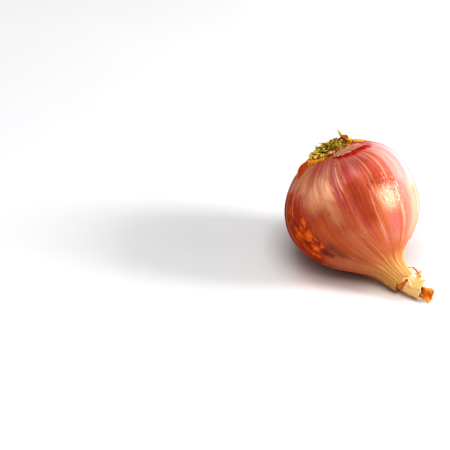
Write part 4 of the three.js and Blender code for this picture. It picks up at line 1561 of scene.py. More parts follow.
@dataclass
class RootEnd:
    """The corky plate with its knob, its orange clump and its root stubs, short and long."""

    plate_radius: float = 5.7
    crown: float = 1.5
    knob: tuple[float, float, float, float] = (3.3, -12.0, 1.15, 1.75)
    clump: tuple[float, float, float] = (4.6, 62.0, 1.3)
    clump_size: float = 1.35
    creases: int = 85
    stubs: int = 132
    stub_reach: float = 5.1
    stub_turn: float = 2.39996

    def plate(self, effects: SharedEffects) -> bpy.types.Object:
        """Builds the low domed plate, uneven like cork.

        Args:
            effects: The shared node groups.

        Returns:
            The plate's object.
        """
        radius, crown = self.plate_radius, self.crown
        dome = [(radius * math.sin(t), 0.3 + crown * math.cos(t) ** 1.3 * 0.85)
                for t in np.linspace(math.pi / 2, 0.0, 16)]
        foot = [(0.0, -0.34), (3.0, -0.34), (4.9, -0.34), (5.5, 0.0)]
        mesh = turned(foot + dome[:-1] + [(0.0, dome[-1][1])], 96)
        reach, around, height = polar(mesh)
        turns = around / TURN
        top = smooth(height, 0.2, 0.6)
        lumps = 0.10 * ripple(turns, 51, 4, 7.0) * smooth(reach, 1, 4)
        lumps += 0.10 * ripple(reach / 6 + 0.3 * turns, 52, 4, 2.0) * smooth(reach, 0.3, 1.5)
        wavy = reach * (1 + 0.015 * ripple(turns, 53, 3, 6.0))
        place_closed(mesh, FORM.on_plate(wavy, around, height + top * lumps))
        cork = CorkFinish("root_cork", "#8f7a3c", "#2e220f")
        return piece("root_disc", mesh, cork.material(effects), "root_plate")

    def lump(self, name: str, where: tuple[float, float, float], size: float,
             finish: CorkFinish, seed: int, effects: SharedEffects) -> bpy.types.Object:
        """A rounded lump on the plate, creased like packed root bases.

        Args:
            name: The piece's name.
            where: Radius, angle in degrees and height of its middle on the plate.
            size: Radius in millimetres.
            finish: Its finish.
            seed: Picks its creases.
            effects: The shared node groups.

        Returns:
            The lump's object.
        """
        bm = bmesh.new()
        bmesh.ops.create_icosphere(bm, subdivisions=5, radius=1.0)
        mesh = finished(name, bm)
        rays = unit(coordinates(mesh))
        rng = random.Random(seed)
        seeds = []
        for _ in range(self.creases):
            axis = np.array([rng.gauss(0, 1) for _ in range(3)])
            seeds.append(axis / np.linalg.norm(axis))
        nearness = np.sort(rays @ np.array(seeds).T, axis=1)
        crease = smooth(nearness[:, -1] - nearness[:, -2], 0.0, 0.03)
        uneven = ripple(rays[:, 0] + 0.7 * rays[:, 2], seed, 4, 0.8)
        local = rays * (size * (0.93 + 0.07 * crease + 0.03 * uneven))[:, None]
        section = FORM.sections(np.full(len(rays), FORM.rim_along))
        high = np.maximum(local[:, 2] * 0.95, -where[2])
        points = FORM.on_plate(where[0], rad(where[1]), where[2]) + section.up * local[:, :1]
        points = points + section.side * local[:, 1:2] - section.ahead * high[:, None]
        place_closed(mesh, points)
        return piece(name, mesh, finish.material(effects))

    def stub(self, radius: float, around: float, tilt: float, length: float, curl: float,
             swirl: float, thick: float, tone: float, lift: float = 0.4) -> Strand:
        """One dried root: it leaves the plate, leans out and curls over.

        Args:
            radius: Where it is rooted, from the plate's middle.
            around: Where it is rooted, in degrees.
            tilt: Lean outward from upright, in degrees.
            length: Length in millimetres.
            curl: How far its end droops, as a share of its length.
            swirl: How far it bends sideways, in degrees.
            thick: Thickness in millimetres.
            tone: From 0, dark olive, to 1, pale straw.
            lift: Height of its base on the plate.

        Returns:
            The strand.
        """
        lean = math.radians(tilt)
        shares = np.linspace(0, 1, 9)
        path = []
        for t in shares:
            out = radius + length * t * math.sin(lean)
            rise = lift + length * (t * math.cos(lean) - curl * t * t)
            angle = math.radians(around + swirl * t * t)
            if out > self.plate_radius + 0.2:
                rise = max(rise, 0.5 + thick / 2 - 0.3 * (out - self.plate_radius))
            path.append(FORM.on_plate(out, angle, rise)[0])
        radii = thick / 2 * (1.15 - 0.25 * shares + 0.12 * np.sin(9 * shares + 5 * tone))
        radii[-1] *= 0.7
        return Strand(np.array(path), radii, tone, 7)

    def covered(self, radius: float, around: float) -> bool:
        """Whether the knob or the flake covers a place on the plate, so no root shows there.

        Args:
            radius: Distance from the plate's middle.
            around: Angle in degrees.

        Returns:
            True where it is covered.
        """
        angle, knob_angle = math.radians(around), math.radians(self.knob[1])
        gap = math.hypot(radius * math.cos(angle) - self.knob[0] * math.cos(knob_angle),
                         radius * math.sin(angle) - self.knob[0] * math.sin(knob_angle))
        return gap < self.knob[3] * 1.02 or (abs(around + 48) < 17 and radius > 3.9)

    def roots(self) -> bpy.types.Object:
        """Builds all the root stubs: a fringe at the edge and packed stubs inside it.

        Returns:
            The stubs' object.
        """
        rng = random.Random(77)
        strands = []
        for i in range(self.stubs):
            radius = self.stub_reach * math.sqrt((i + 0.5) / self.stubs)
            around = math.degrees(i * self.stub_turn) % 360 - 180
            if self.covered(radius, around):
                continue
            near_flap = abs((around + 12 + 180) % 360 - 180) < 50
            edge = radius / self.stub_reach
            tilt = 12 + 50 * edge**2 + rng.uniform(-14, 14)
            length = rng.uniform(0.9, 1.5) + 0.5 * edge
            if near_flap:
                tilt, length = rng.uniform(0, 16), rng.uniform(0.6, 1.1)
            curl = rng.uniform(0.05, 0.3) * edge
            swirl = rng.uniform(-26, 26)
            thick = rng.uniform(0.45, 0.74)
            tone = rng.random() ** 1.3
            start, high = radius - 0.2 * near_flap, 0.2 + 1.1 * (1 - edge**2)
            strands.append(self.stub(start, around, tilt, length, curl, swirl, thick, tone, high))
        mesh = strands_mesh(strands + self.front_curls())
        thing = piece("root_stubs", mesh, FibreFinish().material())
        ease(thing)
        return thing

    def front_curls(self) -> list[Strand]:
        """The long roots: curls at the near left edge and three that stand clear.

        Returns:
            The strands.
        """
        stub = self.stub
        return [
            stub(4.7, -142, 52, 2.6, 0.30, 18, 0.54, 0.95, 0.5),
            stub(4.9, -130, 58, 2.2, 0.50, -20, 0.64, 0.9, 0.5),
            stub(4.8, -119, 50, 2.4, 0.60, -14, 0.64, 1.0, 0.6),
            stub(4.7, -108, 52, 2.3, 0.65, -10, 0.68, 0.85, 0.6),
            stub(4.8, -98, 56, 2.0, 0.55, 12, 0.64, 1.0, 0.5),
            stub(4.6, -87, 50, 2.2, 0.60, -12, 0.66, 0.8, 0.6),
            stub(4.7, -78, 52, 1.9, 0.50, 8, 0.6, 0.9, 0.5),
            stub(4.7, -69, 50, 1.8, 0.50, 4, 0.6, 1.0, 0.5),
            stub(4.2, -112, 26, 2.2, 0.35, 24, 0.6, 0.7, 0.9),
            stub(4.0, -92, 22, 2.0, 0.30, -24, 0.62, 0.55, 1.0),
            stub(3.9, -74, 20, 1.8, 0.25, 14, 0.6, 0.75, 1.0),
            stub(4.6, 76, 4, 3.1, 0.04, 14, 0.8, 0.5, 1.0),
            stub(4.4, 150, 30, 2.0, 0.1, 20, 0.6, 0.6, 0.7),
            stub(4.4, -165, 34, 2.1, 0.1, -16, 0.6, 0.7, 0.7),
        ]

    def build(self, effects: SharedEffects) -> list[bpy.types.Object]:
        """Builds the whole root end.

        Args:
            effects: The shared node groups.

        Returns:
            Its pieces.
        """
        knob = CorkFinish("root_knob_fibre", "#a88a2a", "#3a2a06", 1900.0)
        embers = CorkFinish("root_clump_bark", "#c46814", "#3a320c", 1300.0)
        return [
            self.plate(effects),
            self.lump("root_knob", self.knob[:3], self.knob[3], knob, 3, effects),
            self.lump("root_clump", self.clump, self.clump_size, embers, 9, effects),
            self.roots(),
        ]


# ------------------------------------------------------------------ dry skins on the shoulder


@dataclass
class ShoulderSkins:
    """The papery pieces round the roots: collar, flap, scrap and flake."""

    side: float = 1.0
    collar_span: tuple[float, float] = (math.radians(38), math.radians(300))
    flap_span: tuple[float, float] = (math.radians(-40), math.radians(23))
    scrap_top: tuple[float, float] = (6.9, math.radians(-119.0))
    scrap_tip: tuple[float, float] = (11.9, math.radians(-104.0))
    standing_threads: int = 84
    lying_threads: int = 76

    def collar(self, effects: SharedEffects) -> bpy.types.Object:
        """The thin orange skin left round the plate.

        Args:
            effects: The shared node groups.

        Returns:
            The collar's object.
        """
        start, end = self.collar_span

        def at(u: Array, v: Array) -> Array:
            """Places on the collar: u goes round it and v outward.

            Args:
                u: Shares along the grid's first side.
                v: Shares along its second side.

            Returns:
                The places, in millimetres.
            """
            around = start + (end - start) * u
            tongue = 2.9 * hump(turn(around, rad(54)), rad(40)) - 0.55 * hump(turn(around, rad(-95)), rad(60))
            torn = 0.30 * ripple(u, 61, 5, 11.0) + 0.18 * ripple(u, 62, 3, 43.0)
            radius = FORM.rim + 0.05 + v * (1.1 + tongue + torn)
            lift = 0.08 + 0.25 * v * (0.5 + 0.5 * ripple(u, 63, 4, 6.0)) + 0.3 * (1 - v) ** 2
            return FORM.on_skin(FORM.shoulder_along(radius), around, lift)

        def edge(u: Array, v: Array) -> Array:
            """Where the collar's torn edge is browner."""
            return 0.8 * smooth(ripple(u, 66, 4, 17.0), 0.35, 0.8) * smooth(v, 0.2, 0.6)

        paper = PaperFinish("collar_paper", "#ffb434", "#d8741a", "#ffdf74", (60, 1.0, 1), 5.0, 0.5,
                            0.05, "#8a3c0c").material(effects)
        mesh = sheet(360, 12, at, {"edge": edge})
        return piece("orange_collar", mesh, paper, "root_collar", (0.12, self.side))

    def fringe(self) -> bpy.types.Object:
        """Torn orange threads of skin that stand between the roots and the flap.

        Returns:
            The threads' object.
        """
        rng = random.Random(44)
        steps = np.linspace(0, 1, 6)
        strands = []
        for i in range(self.standing_threads):
            around = -150 + 235 * (i + rng.uniform(-0.3, 0.3)) / self.standing_threads
            radius = rng.uniform(5.75, 6.25)
            length = rng.uniform(0.7, 1.7)
            lean = math.radians(rng.uniform(-35, 50))
            swirl = rng.uniform(-16, 16)
            path = []
            for t in steps:
                out = radius + length * t * math.sin(lean)
                rise = 0.1 + length * t * math.cos(lean) * 0.62
                path.append(FORM.on_plate(out, rad(around + swirl * t), rise)[0])
            radii = rng.uniform(0.16, 0.34) * np.linspace(1.0, 0.25, 6)
            strands.append(Strand(np.array(path), radii, rng.random(), 6, 0.4))
        for i in range(self.lying_threads):
            around = -138 + 96 * (i + rng.uniform(-0.4, 0.4)) / self.lying_threads
            start, length = rng.uniform(6.3, 6.9), rng.uniform(0.5, 1.7)
            swirl = rng.uniform(-6, 6)
            lift = 0.16 + 0.12 * steps * rng.uniform(0, 1) - 0.06 * steps**3
            along = FORM.shoulder_along(start + length * steps)
            path = FORM.on_skin(along, rad(around + swirl * steps**2), lift)
            radii = rng.uniform(0.07, 0.15) * np.linspace(1.0, 0.35, 6)
            strands.append(Strand(path, radii, rng.uniform(0.3, 1.0), 5, 0.6))
        return piece("orange_threads", strands_mesh(strands), self.thread_material())

    def thread_material(self) -> bpy.types.Material:
        """Orange dry threads, from brown to yellow.

        Returns:
            The material.
        """
        made, g, shader = new_material("orange_thread")
        cloud = g.noise(g.object_place(), 1400.0, 3.0, 0.6)
        amount = g.plus(g.times(g.layer("tone"), 0.6), g.times(cloud, 0.5))
        shade = g.ramp(amount, {0.2: "#b04a0c", 0.45: "#ee9422", 0.75: "#ffcc50"})
        shade = g.over(shade, "#8a3c0a", g.spread(g.layer("share_along"), 0.0, 0.4, 0.5, 0.0))
        g.fill(shader, {"Base Color": shade, "Roughness": 0.55, "Normal": g.bump(cloud, 0.05, 0.7)})
        return made

    def flap(self, effects: SharedEffects) -> bpy.types.Object:
        """The dusty pink flap, jagged and slightly lifted at its free edge.

        Args:
            effects: The shared node groups.

        Returns:
            The flap's object.
        """
        start, end = self.flap_span

        def at(u: Array, v: Array) -> Array:
            """Places on the flap: u goes round the plate and v outward.

            Args:
                u: Shares along the grid's first side.
                v: Shares along its second side.

            Returns:
                The places, in millimetres.
            """
            around = start + (end - start) * u
            inner = FORM.rim - 0.1 + 2.6 * np.maximum(0, (u - 0.62) / 0.38) ** 1.4
            width = 1.2 + 2.4 * np.sin(np.pi * (0.04 + 0.84 * u)) ** 0.75
            jagged = 0.26 * ripple(u, 71, 3, 6.0) + 0.26 * ripple(u, 72, 2, 13.0)
            radius = inner + v * (width + jagged * smooth(v, 0.5, 1.0))
            wave = 0.16 * ripple(u, 73, 3, 5.0) * v
            lift = 0.30 + 0.2 * v * v + 0.6 * wave + 0.25 * (1 - v) ** 3
            return FORM.on_skin(FORM.shoulder_along(radius), around, lift)

        def edge(u: Array, v: Array) -> Array:
            """Where the flap's free edge is paler."""
            return 0.75 * smooth(v, 0.86, 0.99) * smooth(ripple(u, 74, 3, 9.0), -0.2, 0.4)

        paper = PaperFinish("flap_paper", "#dc9484", "#c46a5c", "#ecbca8", (24, 2.0, 1), 5.0, 0.7,
                            0.05, "#f8dcc0").material(effects)
        mesh = sheet(150, 18, at, {"edge": edge})
        return piece("pink_flap", mesh, paper, "shoulder_flap", (0.14, self.side))

    def scrap(self, effects: SharedEffects) -> bpy.types.Object:
        """The brown scrap on the left shoulder with its pale lifted edge.

        Args:
            effects: The shared node groups.

        Returns:
            The scrap's object.
        """
        top, tip = self.scrap_top, self.scrap_tip

        def at(u: Array, v: Array) -> Array:
            """Places on the scrap: u goes from its top to its tip and v across it.

            Args:
                u: Shares along the grid's first side.
                v: Shares along its second side.

            Returns:
                The places, in millimetres.
            """
            across = (v - 0.5) * 2
            belly = 1.9 * np.sin(np.pi * (0.10 + 0.86 * u**0.8)) + 0.08 * ripple(u, 81, 3, 4.0)
            radius = top[0] + (tip[0] - top[0]) * u
            around = top[1] + (tip[1] - top[1]) * u - belly * across / radius
            lift = 0.12 + 0.85 * v**2.2 * np.sin(np.pi * np.clip(u, 0.02, 0.98)) ** 0.8
            return FORM.on_skin(FORM.shoulder_along(radius), around, lift)

        paper = PaperFinish("scrap_skin", "#cc4a04", "#8a2400", "#ee7010", (3, 18, 1), 3.0, 0.42,
                            0.03, "#f4d8a8").material(effects)
        mesh = sheet(70, 24, at, {"edge": lambda u, v: smooth(v, 0.90, 0.97)})
        return piece("brown_scrap", mesh, paper, "shoulder_scrap", (0.16, self.side))

    def chip(self, effects: SharedEffects) -> bpy.types.Object:
        """The small flake of pink skin lying on the rim in front of the roots.

        Args:
            effects: The shared node groups.

        Returns:
            The flake's object.
        """

        def at(u: Array, v: Array) -> Array:
            """Places on the flake: u goes round the plate and v outward.

            Args:
                u: Shares along the grid's first side.
                v: Shares along its second side.

            Returns:
                The places, in millimetres.
            """
            notch = 0.4 * hump(u - 0.6, 0.16) * v
            run = (u - 0.5) * 2.1
            torn = 0.10 * ripple(u, 91, 4, 3.0)
            radius = 5.95 + 1.35 * v * (0.8 + 0.2 * np.sin(5 * u)) - notch + torn
            around = rad(-42) + run / radius
            height = 1.15 - 0.3 * v + 0.16 * np.sin(6 * u) + 0.2 * (v - 0.5) ** 2
            return FORM.on_plate(radius, around, height)

        paper = PaperFinish("flake_skin", "#e8a276", "#c46a44", "#f2c49c", (8, 1.5, 1), 4.0, 0.5,
                            0.04).material(effects)
        return piece("skin_flake", sheet(36, 18, at), paper, "skin_chip", (0.22, self.side))

    def build(self, effects: SharedEffects) -> list[bpy.types.Object]:
        """Builds all the shoulder's dry skins.

        Args:
            effects: The shared node groups.

        Returns:
            Its pieces.
        """
        return [
            self.collar(effects),
            self.fringe(),
            self.flap(effects),
            self.scrap(effects),
            self.chip(effects),
        ]


# ------------------------------------------------------------------ the neck


@dataclass(frozen=True)
class SheathFinish:
    """The ribbed straw tube with its dark inner band."""

    straw: str = "#ffd898"
    deep: str = "#f0b46c"
    line: str = "#fbdca4"
    bark: str = "#ffa040"
    bark_deep: str = "#d8660e"
    red: str = "#b43004"
    edge: str = "#f6e6c2"
    # painted shade in the tube's hollow
    inside: str = "#6e3516"

    def material(self, effects: SharedEffects) -> bpy.types.Material:
        """Builds the material from the tube's own layers.

        Args:
            effects: The shared node groups.

        Returns:
            The material.
        """
        made, g, shader = new_material("sheath_straw")
        growth = g.layer("growth", 1)
        lines, _ = effects.fibres(g, g.scaled(growth, (1, 1, 0.04)), 26.0)
        streak = g.noise(g.scaled(growth, (11, 11, 0.7)), 1.0, 3.0, 0.6)
        light = g.spread(streak, 0.35, 0.65)
        shade = g.over(colour(self.deep), self.straw, light)
        shade = g.over(shade, self.line, lines, 0.45)
        shade = g.mix(g.layer("under"), shade, g.over(colour(self.bark_deep), self.bark, light))
        shade = g.over(shade, self.red, g.layer("band"))
        shade = g.over(shade, self.edge, g.layer("edge"))
        # painted shade in the tube's hollow, lighter towards its open end
        shade = g.over(shade, self.inside, g.layer("inside"))
        height = g.plus(lines, g.noise(g.object_place(), 2200.0, 3.0))
        g.fill(shader, {
            "Base Color": shade,
            "Roughness": 0.5,
            "Subsurface Weight": 0.3,
            "Subsurface Radius": (1.0, 0.55, 0.25),
            "Subsurface Scale": 0.8 * MM,
            "Normal": g.bump(height, 0.05, 0.8),
        })
        return made


@dataclass(frozen=True)
class LeafFinish:
    """The dried leaf end: four oranges, with painted shade in its fold hollows and where it leaves the tube.
    """

    shades: tuple[str, str, str, str] = ("#d44a02", "#ff7e08", "#ff9c20", "#ffc868")
    # painted shade in the folds' hollows
    crease: str = "#c84802"
    # painted shade where the leaf leaves the tube
    deep: str = "#8a2c04"
    fibre: str = "#ffb054"

    def material(self, effects: SharedEffects) -> bpy.types.Material:
        """Builds the material from the leaf's own shares and creases.

        Args:
            effects: The shared node groups.

        Returns:
            The material.
        """
        made, g, shader = new_material("dried_leaf")
        share = g.layer("share", 1)
        cloud = g.noise(g.object_place(), 900.0, 5.0, 0.65, 0.5)
        shade = g.ramp(cloud, dict(zip((0.34, 0.44, 0.54, 0.72), self.shades)))
        # painted shade in the hollows of the folds
        shade = g.over(shade, self.crease, g.layer("crease"), 0.4)
        out = g.node("ShaderNodeSeparateXYZ", {0: share}).outputs[0]
        # painted shade where the leaf leaves the tube, darkest inside it
        shade = g.over(shade, self.deep, g.spread(out, 0.14, 0.36, 0.75, 0.0))
        lines, _ = effects.fibres(g, g.scaled(share, (1.0, 14.0, 1.0)), 3.0)
        shade = g.over(shade, self.fibre, lines, 0.3)
        g.fill(shader, {
            "Base Color": shade,
            "Roughness": 0.5,
            "Subsurface Weight": 0.2,
            "Subsurface Radius": (1.0, 0.35, 0.08),
            "Subsurface Scale": 1.2 * MM,
            "Normal": g.bump(g.plus(cloud, lines), 0.09, 0.8),
        })
        return made


@dataclass(frozen=True)
class Strip:
    """A strip of dry skin: path, widths, wall and cup in millimetres, and the way it faces."""

    name: str
    path: Sequence[Point]
    widths: Sequence[float]
    facing: Point
    thickness: float
    finish: PaperFinish
    cup: float
    node: str | None = None

    def build(self, effects: SharedEffects) -> bpy.types.Object:
        """Builds the strip, its edges raised by its cup.

        Args:
            effects: The shared node groups.

        Returns:
            The strip's object.
        """
        line = eased(self.path, 41)
        steps = np.linspace(0, 1, len(line))
        slopes = unit(np.gradient(line, axis=0))
        wide = unit(np.cross(np.array(self.facing, dtype=float), slopes))
        through = np.cross(slopes, wide)
        seed = len(self.name)

        def at(u: Array, v: Array) -> Array:
            """Places on the strip: u goes along it and v across.

            Args:
                u: Shares along the grid's first side.
                v: Shares along its second side.

            Returns:
                The places, in millimetres.
            """
            width = np.interp(u, np.linspace(0, 1, len(self.widths)), self.widths)
            across = (v - 0.5) * width * (1 + 0.10 * ripple(u, seed, 4, 3.0))
            rise = self.cup * ((2 * v - 1) ** 2) + 0.05 * ripple(u + 0.3 * v, seed + 1, 3, 3.0)
            points = between(u, steps, line) + between(u, steps, wide) * across[:, None]
            return points + between(u, steps, through) * rise[:, None]

        mesh = sheet(48, 10, at, {"edge": lambda u, v: 0.7 * smooth(np.abs(v - 0.5), 0.40, 0.5)})
        material = self.finish.material(effects)
        return piece(self.name, mesh, material, self.node, (self.thickness, 0.0))


@dataclass
class Neck:
    """What comes out of the torn mouth: an inner lip, the dried tube, frays, a curl and a leaf end."""

    sheath_end: tuple[float, float, float] = (26.6, 1.43, 2.8)
    rooted: float = 24.0
    floor_clearance: float = 0.02
    tube_wall: float = 0.22
    tube_outline: tuple[tuple[float, float], ...] = (
        (0.10, 2.4), (0.38, 2.5), (0.45, 2.45), (0.50, 2.3), (0.54, 2.18),
        (0.60, 2.12), (0.70, 2.2), (0.80, 2.38), (0.9, 2.55), (1.0, 2.72),
    )

    def curve(self, share: Array) -> tuple[Array, Array, Array, Array]:
        """Centre, up, side and ahead at shares of the tube's curve, past its ends too.

        Args:
            share: Shares of the curve's length, 0 to 1 between its ends.

        Returns:
            The four, one row per share.
        """
        centres = FORM.sections(np.array([self.rooted, self.rooted + 2.3, self.rooted + 4.4])).centre
        path = eased([*centres, self.sheath_end], 61)
        steps = np.linspace(0, 1, len(path))
        within = np.clip(share, 0, 1)
        slope = between(within, steps, np.gradient(path, steps, axis=0))
        centre = between(within, steps, path) + slope * (share - within)[:, None]
        ahead = unit(slope)
        side = unit(np.cross(np.array([0.0, 0.0, 1.0]), ahead))
        return centre, np.cross(ahead, side), side, ahead

    def around_curve(self, share: Array, around: Array, radius: Array) -> Array:
        """Points round the tube's curve."""
        centre, up, side, _ = self.curve(share)
        out = np.cos(around)[:, None] * up + np.sin(around)[:, None] * side
        return centre + out * radius[:, None]

    def tube(self, effects: SharedEffects) -> bpy.types.Object:
        """The dried tube: dark band at the mouth, ribs, a flared and torn end.

        Args:
            effects: The shared node groups.

        Returns:
            The tube's object.
        """
        wall = self.tube_wall
        places, widths = zip(*self.tube_outline)
        shares = np.linspace(0.10, 1.0, 64)
        radii = np.interp(shares, places, widths)
        back = np.linspace(1.0, 0.72, 22)
        inner = np.interp(back, shares, radii) - wall - 0.5 * (1 - back)
        profile = [(0.0, 0.12), (1.2, 0.12)] + list(zip(radii.tolist(), shares.tolist()))
        profile += [(float(radii[-1]) - wall * 0.5, 1.008)] + list(zip(inner.tolist(), back.tolist()))
        mesh = turned(profile + [(1.0, 0.70), (0.0, 0.70)], 180)
        radius, around, share = polar(mesh)
        turns = around / TURN
        hollow = (share > 0.69) & (radius < np.interp(share, shares, radii) - wall * 0.8)
        deep_wall = smooth(radius, 1.2, 1.8)
        flare = hump(turn(around, rad(28)), rad(55)) * smooth(share, 0.72, 1.0) * deep_wall
        ribs = (0.055 * ripple(turns, 101, 4, 15.0) + 0.05 * ripple(turns, 102, 3, 5.0)) * deep_wall
        torn = 0.012 * ripple(turns, 103, 4, 11.0) + 0.018 * ripple(turns, 104, 3, 3.0)
        bent = share + 0.05 * flare + torn * smooth(share, 0.8, 1.0) * deep_wall
        points = self.around_curve(bent, around, radius + 0.42 * flare + ribs)
        points[:, 2] = np.maximum(points[:, 2], self.floor_clearance)
        layers = Layers(
            numbers={
                "band": 0.9 * hump(share - 0.583, 0.03) * smooth(radius, 1.0, 1.4),
                "under": 1 - smooth(share, 0.575, 0.6),
                "edge": smooth(share, 0.985, 1.0) * 0.8 * (1 - hollow),
                # painted shade in the tube's hollow, lighter towards its open end
                "inside": np.where(hollow, 1.0, 0.0) * (1 - 0.6 * smooth(share, 0.9, 1.0)),
            },
            vectors={"growth": np.stack([np.cos(around), np.sin(around), share * 9 / 19], 1)},
        )
        layers.write(mesh)
        place_closed(mesh, points)
        return piece("dried_tube", mesh, SheathFinish().material(effects), "neck_sheath")

    def inner_lip(self, effects: SharedEffects) -> bpy.types.Object:
        """The second skin just inside the mouth, showing past the outer lip on top.

        Args:
            effects: The shared node groups.

        Returns:
            The lip's object.
        """

        def at(u: Array, v: Array) -> Array:
            """Places on the inner lip: u goes round the mouth and v out of it.

            Args:
                u: Shares along the grid's first side.
                v: Shares along its second side.

            Returns:
                The places, in millimetres.
            """
            around = rad(-175) + rad(350) * u
            tear = -1.6 * hump(turn(around, rad(66)), rad(50))
            beyond = 0.45 * hump(turn(around, rad(-38)), rad(40))
            beyond = beyond + 1.25 * hump(turn(around, rad(-2)), rad(30))
            ragged = 0.2 * ripple(u, 111, 4, 9.0) + 0.09 * ripple(u, 112, 3, 31.0)
            near = -0.6 * hump(turn(around, rad(-98)), rad(55))
            along = 25.0 + v * (1.85 + tear + beyond + near + ragged * smooth(v, 0.6, 1.0))
            radius = 2.78 + 0.08 * ripple(u, 113, 4, 7.0) - 0.1 * v
            return FORM.point(along, around, radius)

        paper = PaperFinish("inner_lip_skin", "#ffd694", "#e09a4c", "#fff0c0", (60, 1, 1), 4.0, 0.55,
                            0.05, "#ffecc0").material(effects)
        mesh = sheet(260, 16, at, {"edge": lambda u, v: 0.8 * smooth(v, 0.93, 1.0)})
        return piece("inner_lip", mesh, paper, wall=(0.16, -1.0))

    def strips(self) -> list[Strip]:
        """The pale tongue, the white frays and the orange curl at the back of the mouth.

        Returns:
            The strips, to be built in this order.
        """
        cream = PaperFinish("cream_strip", "#fff0c8", "#f8cc80", "#fff8e0", (3, 12, 1), 3.0, 0.55,
                            0.03, "#e08830")
        white = PaperFinish("white_fray", "#fbeedd", "#f0c9a8", "#ffffff", (4, 8, 1), 3.0, 0.6,
                            0.03, "#ffffff")
        rust = PaperFinish("curl_rust", "#d07838", "#a84c18", "#f0a868", (10, 3, 1), 3.0, 0.5,
                           0.03, "#b05418")
        orange = PaperFinish("curl_orange", "#f8921c", "#d86a08", "#ffc060", (10, 3, 1), 3.0, 0.5,
                             0.03, "#c05a10")
        gold = PaperFinish("curl_gold", "#ffd08a", "#eeaa50", "#ffe8b8", (10, 3, 1), 3.0, 0.5,
                           0.03, "#e8a04c")
        start = FORM.on_skin(23.4, rad(95.0), 0.15)[0]
        tongue = self.around_curve(
            np.array([0.50, 0.57, 0.64, 0.70, 0.755, 0.78]),
            rad(np.array([24.0, 10.0, -6.0, -21.0, -42.0, -58.0])),
            np.array([2.5, 2.42, 2.45, 2.55, 2.62, 2.6]),
        )
        torn = FORM.on_skin([25.2, 26.2, 27.2, 28.0], rad(np.array([34, 30, 25, 20])), [-0.1, 0.02, 0.1, 0.0])
        strand = [start, (21.3, 3.44, 6.5), (21.75, 3.69, 6.27), (22.27, 3.89, 5.93), (22.7, 3.96, 5.54),
                  (23.29, 4.07, 5.0)]
        fan = [(23.1, 3.7, 4.7), (23.15, 4.05, 5.1), (23.24, 4.5, 5.5), (23.4, 4.95, 5.7)]
        tail = [(22.32, 3.1, 5.25), (22.84, 3.46, 4.93), (23.41, 3.71, 4.57), (23.79, 4.04, 4.48),
                (23.96, 4.34, 4.6)]
        leaf = [(22.7, 3.3, 5.0), (23.1, 3.2, 4.6), (23.5, 3.1, 4.15), (23.55, 2.85, 3.7)]
        fray_back = [(22.0, 2.5, 6.2), (22.6, 2.4, 5.85), (23.05, 2.35, 5.55), (23.44, 2.38, 5.2),
                     (23.58, 2.11, 4.87)]
        fray_front = [(23.2, 1.3, 5.5), (23.69, 0.94, 5.15), (24.08, 0.89, 4.8), (24.56, 0.91, 4.75)]
        up = (0.45, -0.5, 0.75)
        strand_widths = (0.3, 0.34, 0.4, 0.36, 0.44, 0.5)
        tongue_widths = (1.15, 1.1, 1.0, 0.9, 0.7, 0.25)
        fray_widths = (0.3, 0.6, 0.7, 0.5, 0.25)
        return [
            Strip("curl_strand", strand, strand_widths, (0.1, -0.3, 1.0), 0.2, rust, 0.1, "neck_curl"),
            Strip("curl_fan", fan, (0.7, 1.0, 0.8, 0.5), up, 0.18, gold, 0.15),
            Strip("curl_tail", tail, (0.3, 0.55, 0.7, 0.75, 0.4), up, 0.18, orange, 0.14),
            Strip("curl_leaf", leaf, (1.0, 1.5, 1.4, 0.8), up, 0.15, gold, 0.2),
            Strip("pale_tongue", tongue, tongue_widths, (0.35, -0.65, 0.7), 0.16, cream, 0.12),
            Strip("torn_lip", torn, (1.3, 1.2, 0.9, 0.3), up, 0.14, cream, -0.1),
            Strip("white_fray_back", fray_back, fray_widths, (0.3, -0.4, 0.9), 0.12, white, 0.1),
            Strip("white_fray_front", fray_front, (0.4, 0.7, 0.6, 0.25), (0.3, -0.5, 0.8), 0.12, white, 0.08),
        ]

    def leaf(self, effects: SharedEffects) -> bpy.types.Object:
        """The crumpled dried leaf end in the open end of the tube.

        Args:
            effects: The shared node groups.

        Returns:
            The leaf's object.
        """
        steps = np.linspace(0, 1, 60)
        lower = eased([(-0.9, -1.3), (0.1, -1.95), (1.2, -2.1), (1.95, -2.1), (2.6, -2.6), (3.3, -1.5)], 60)
        upper = eased([(-0.9, 0.7), (0.3, 0.85), (1.7, 1.05), (2.95, 1.3), (3.65, 0.7)], 60)
        centre, _, side, ahead = (row[0] for row in self.curve(np.array([1.0])))
        rise = np.array([0.0, 0.0, 1.0]) + side * 0.85
        rise /= np.linalg.norm(rise)
        facing = np.cross(ahead, rise)
        facing /= np.linalg.norm(facing)

        def folds(u: Array, v: Array) -> Array:
            """Height of the leaf's folds."""
            big = 0.26 * np.sin(7 * v + 3 * u) + 0.16 * np.sin(11 * u + 4 * v)
            small = 0.12 * ripple(v + 0.35 * u, 121, 4, 3.0) + 0.07 * ripple(u - 0.4 * v, 122, 4, 4.0)
            return (big + small) * smooth(u, 0.0, 0.3)

        def at(u: Array, v: Array) -> Array:
            """Places on the leaf: u goes along its edges and v from the lower to the upper.

            Args:
                u: Shares along the grid's first side.
                v: Shares along its second side.

            Returns:
                The places, in millimetres.
            """
            low, high = between(u, steps, lower), between(u, steps, upper)
            along, across = (low + (high - low) * v[:, None]).T
            notch = 0.55 * hump(v - 0.42, 0.09) * smooth(u, 0.82, 1.0)
            along = along + 0.07 * ripple(v, 123, 4, 5.0) * smooth(u, 0.8, 1.0) - notch
            edge_wave = 0.08 * ripple(u, 124, 4, 4.0) * (smooth(v, 0.8, 1.0) - (1 - smooth(v, 0.0, 0.2)))
            points = centre + ahead * along[:, None] + rise * (across + edge_wave)[:, None]
            points = points + facing * folds(u, v)[:, None]
            points[:, 2] = np.maximum(points[:, 2], 0.25)
            return points

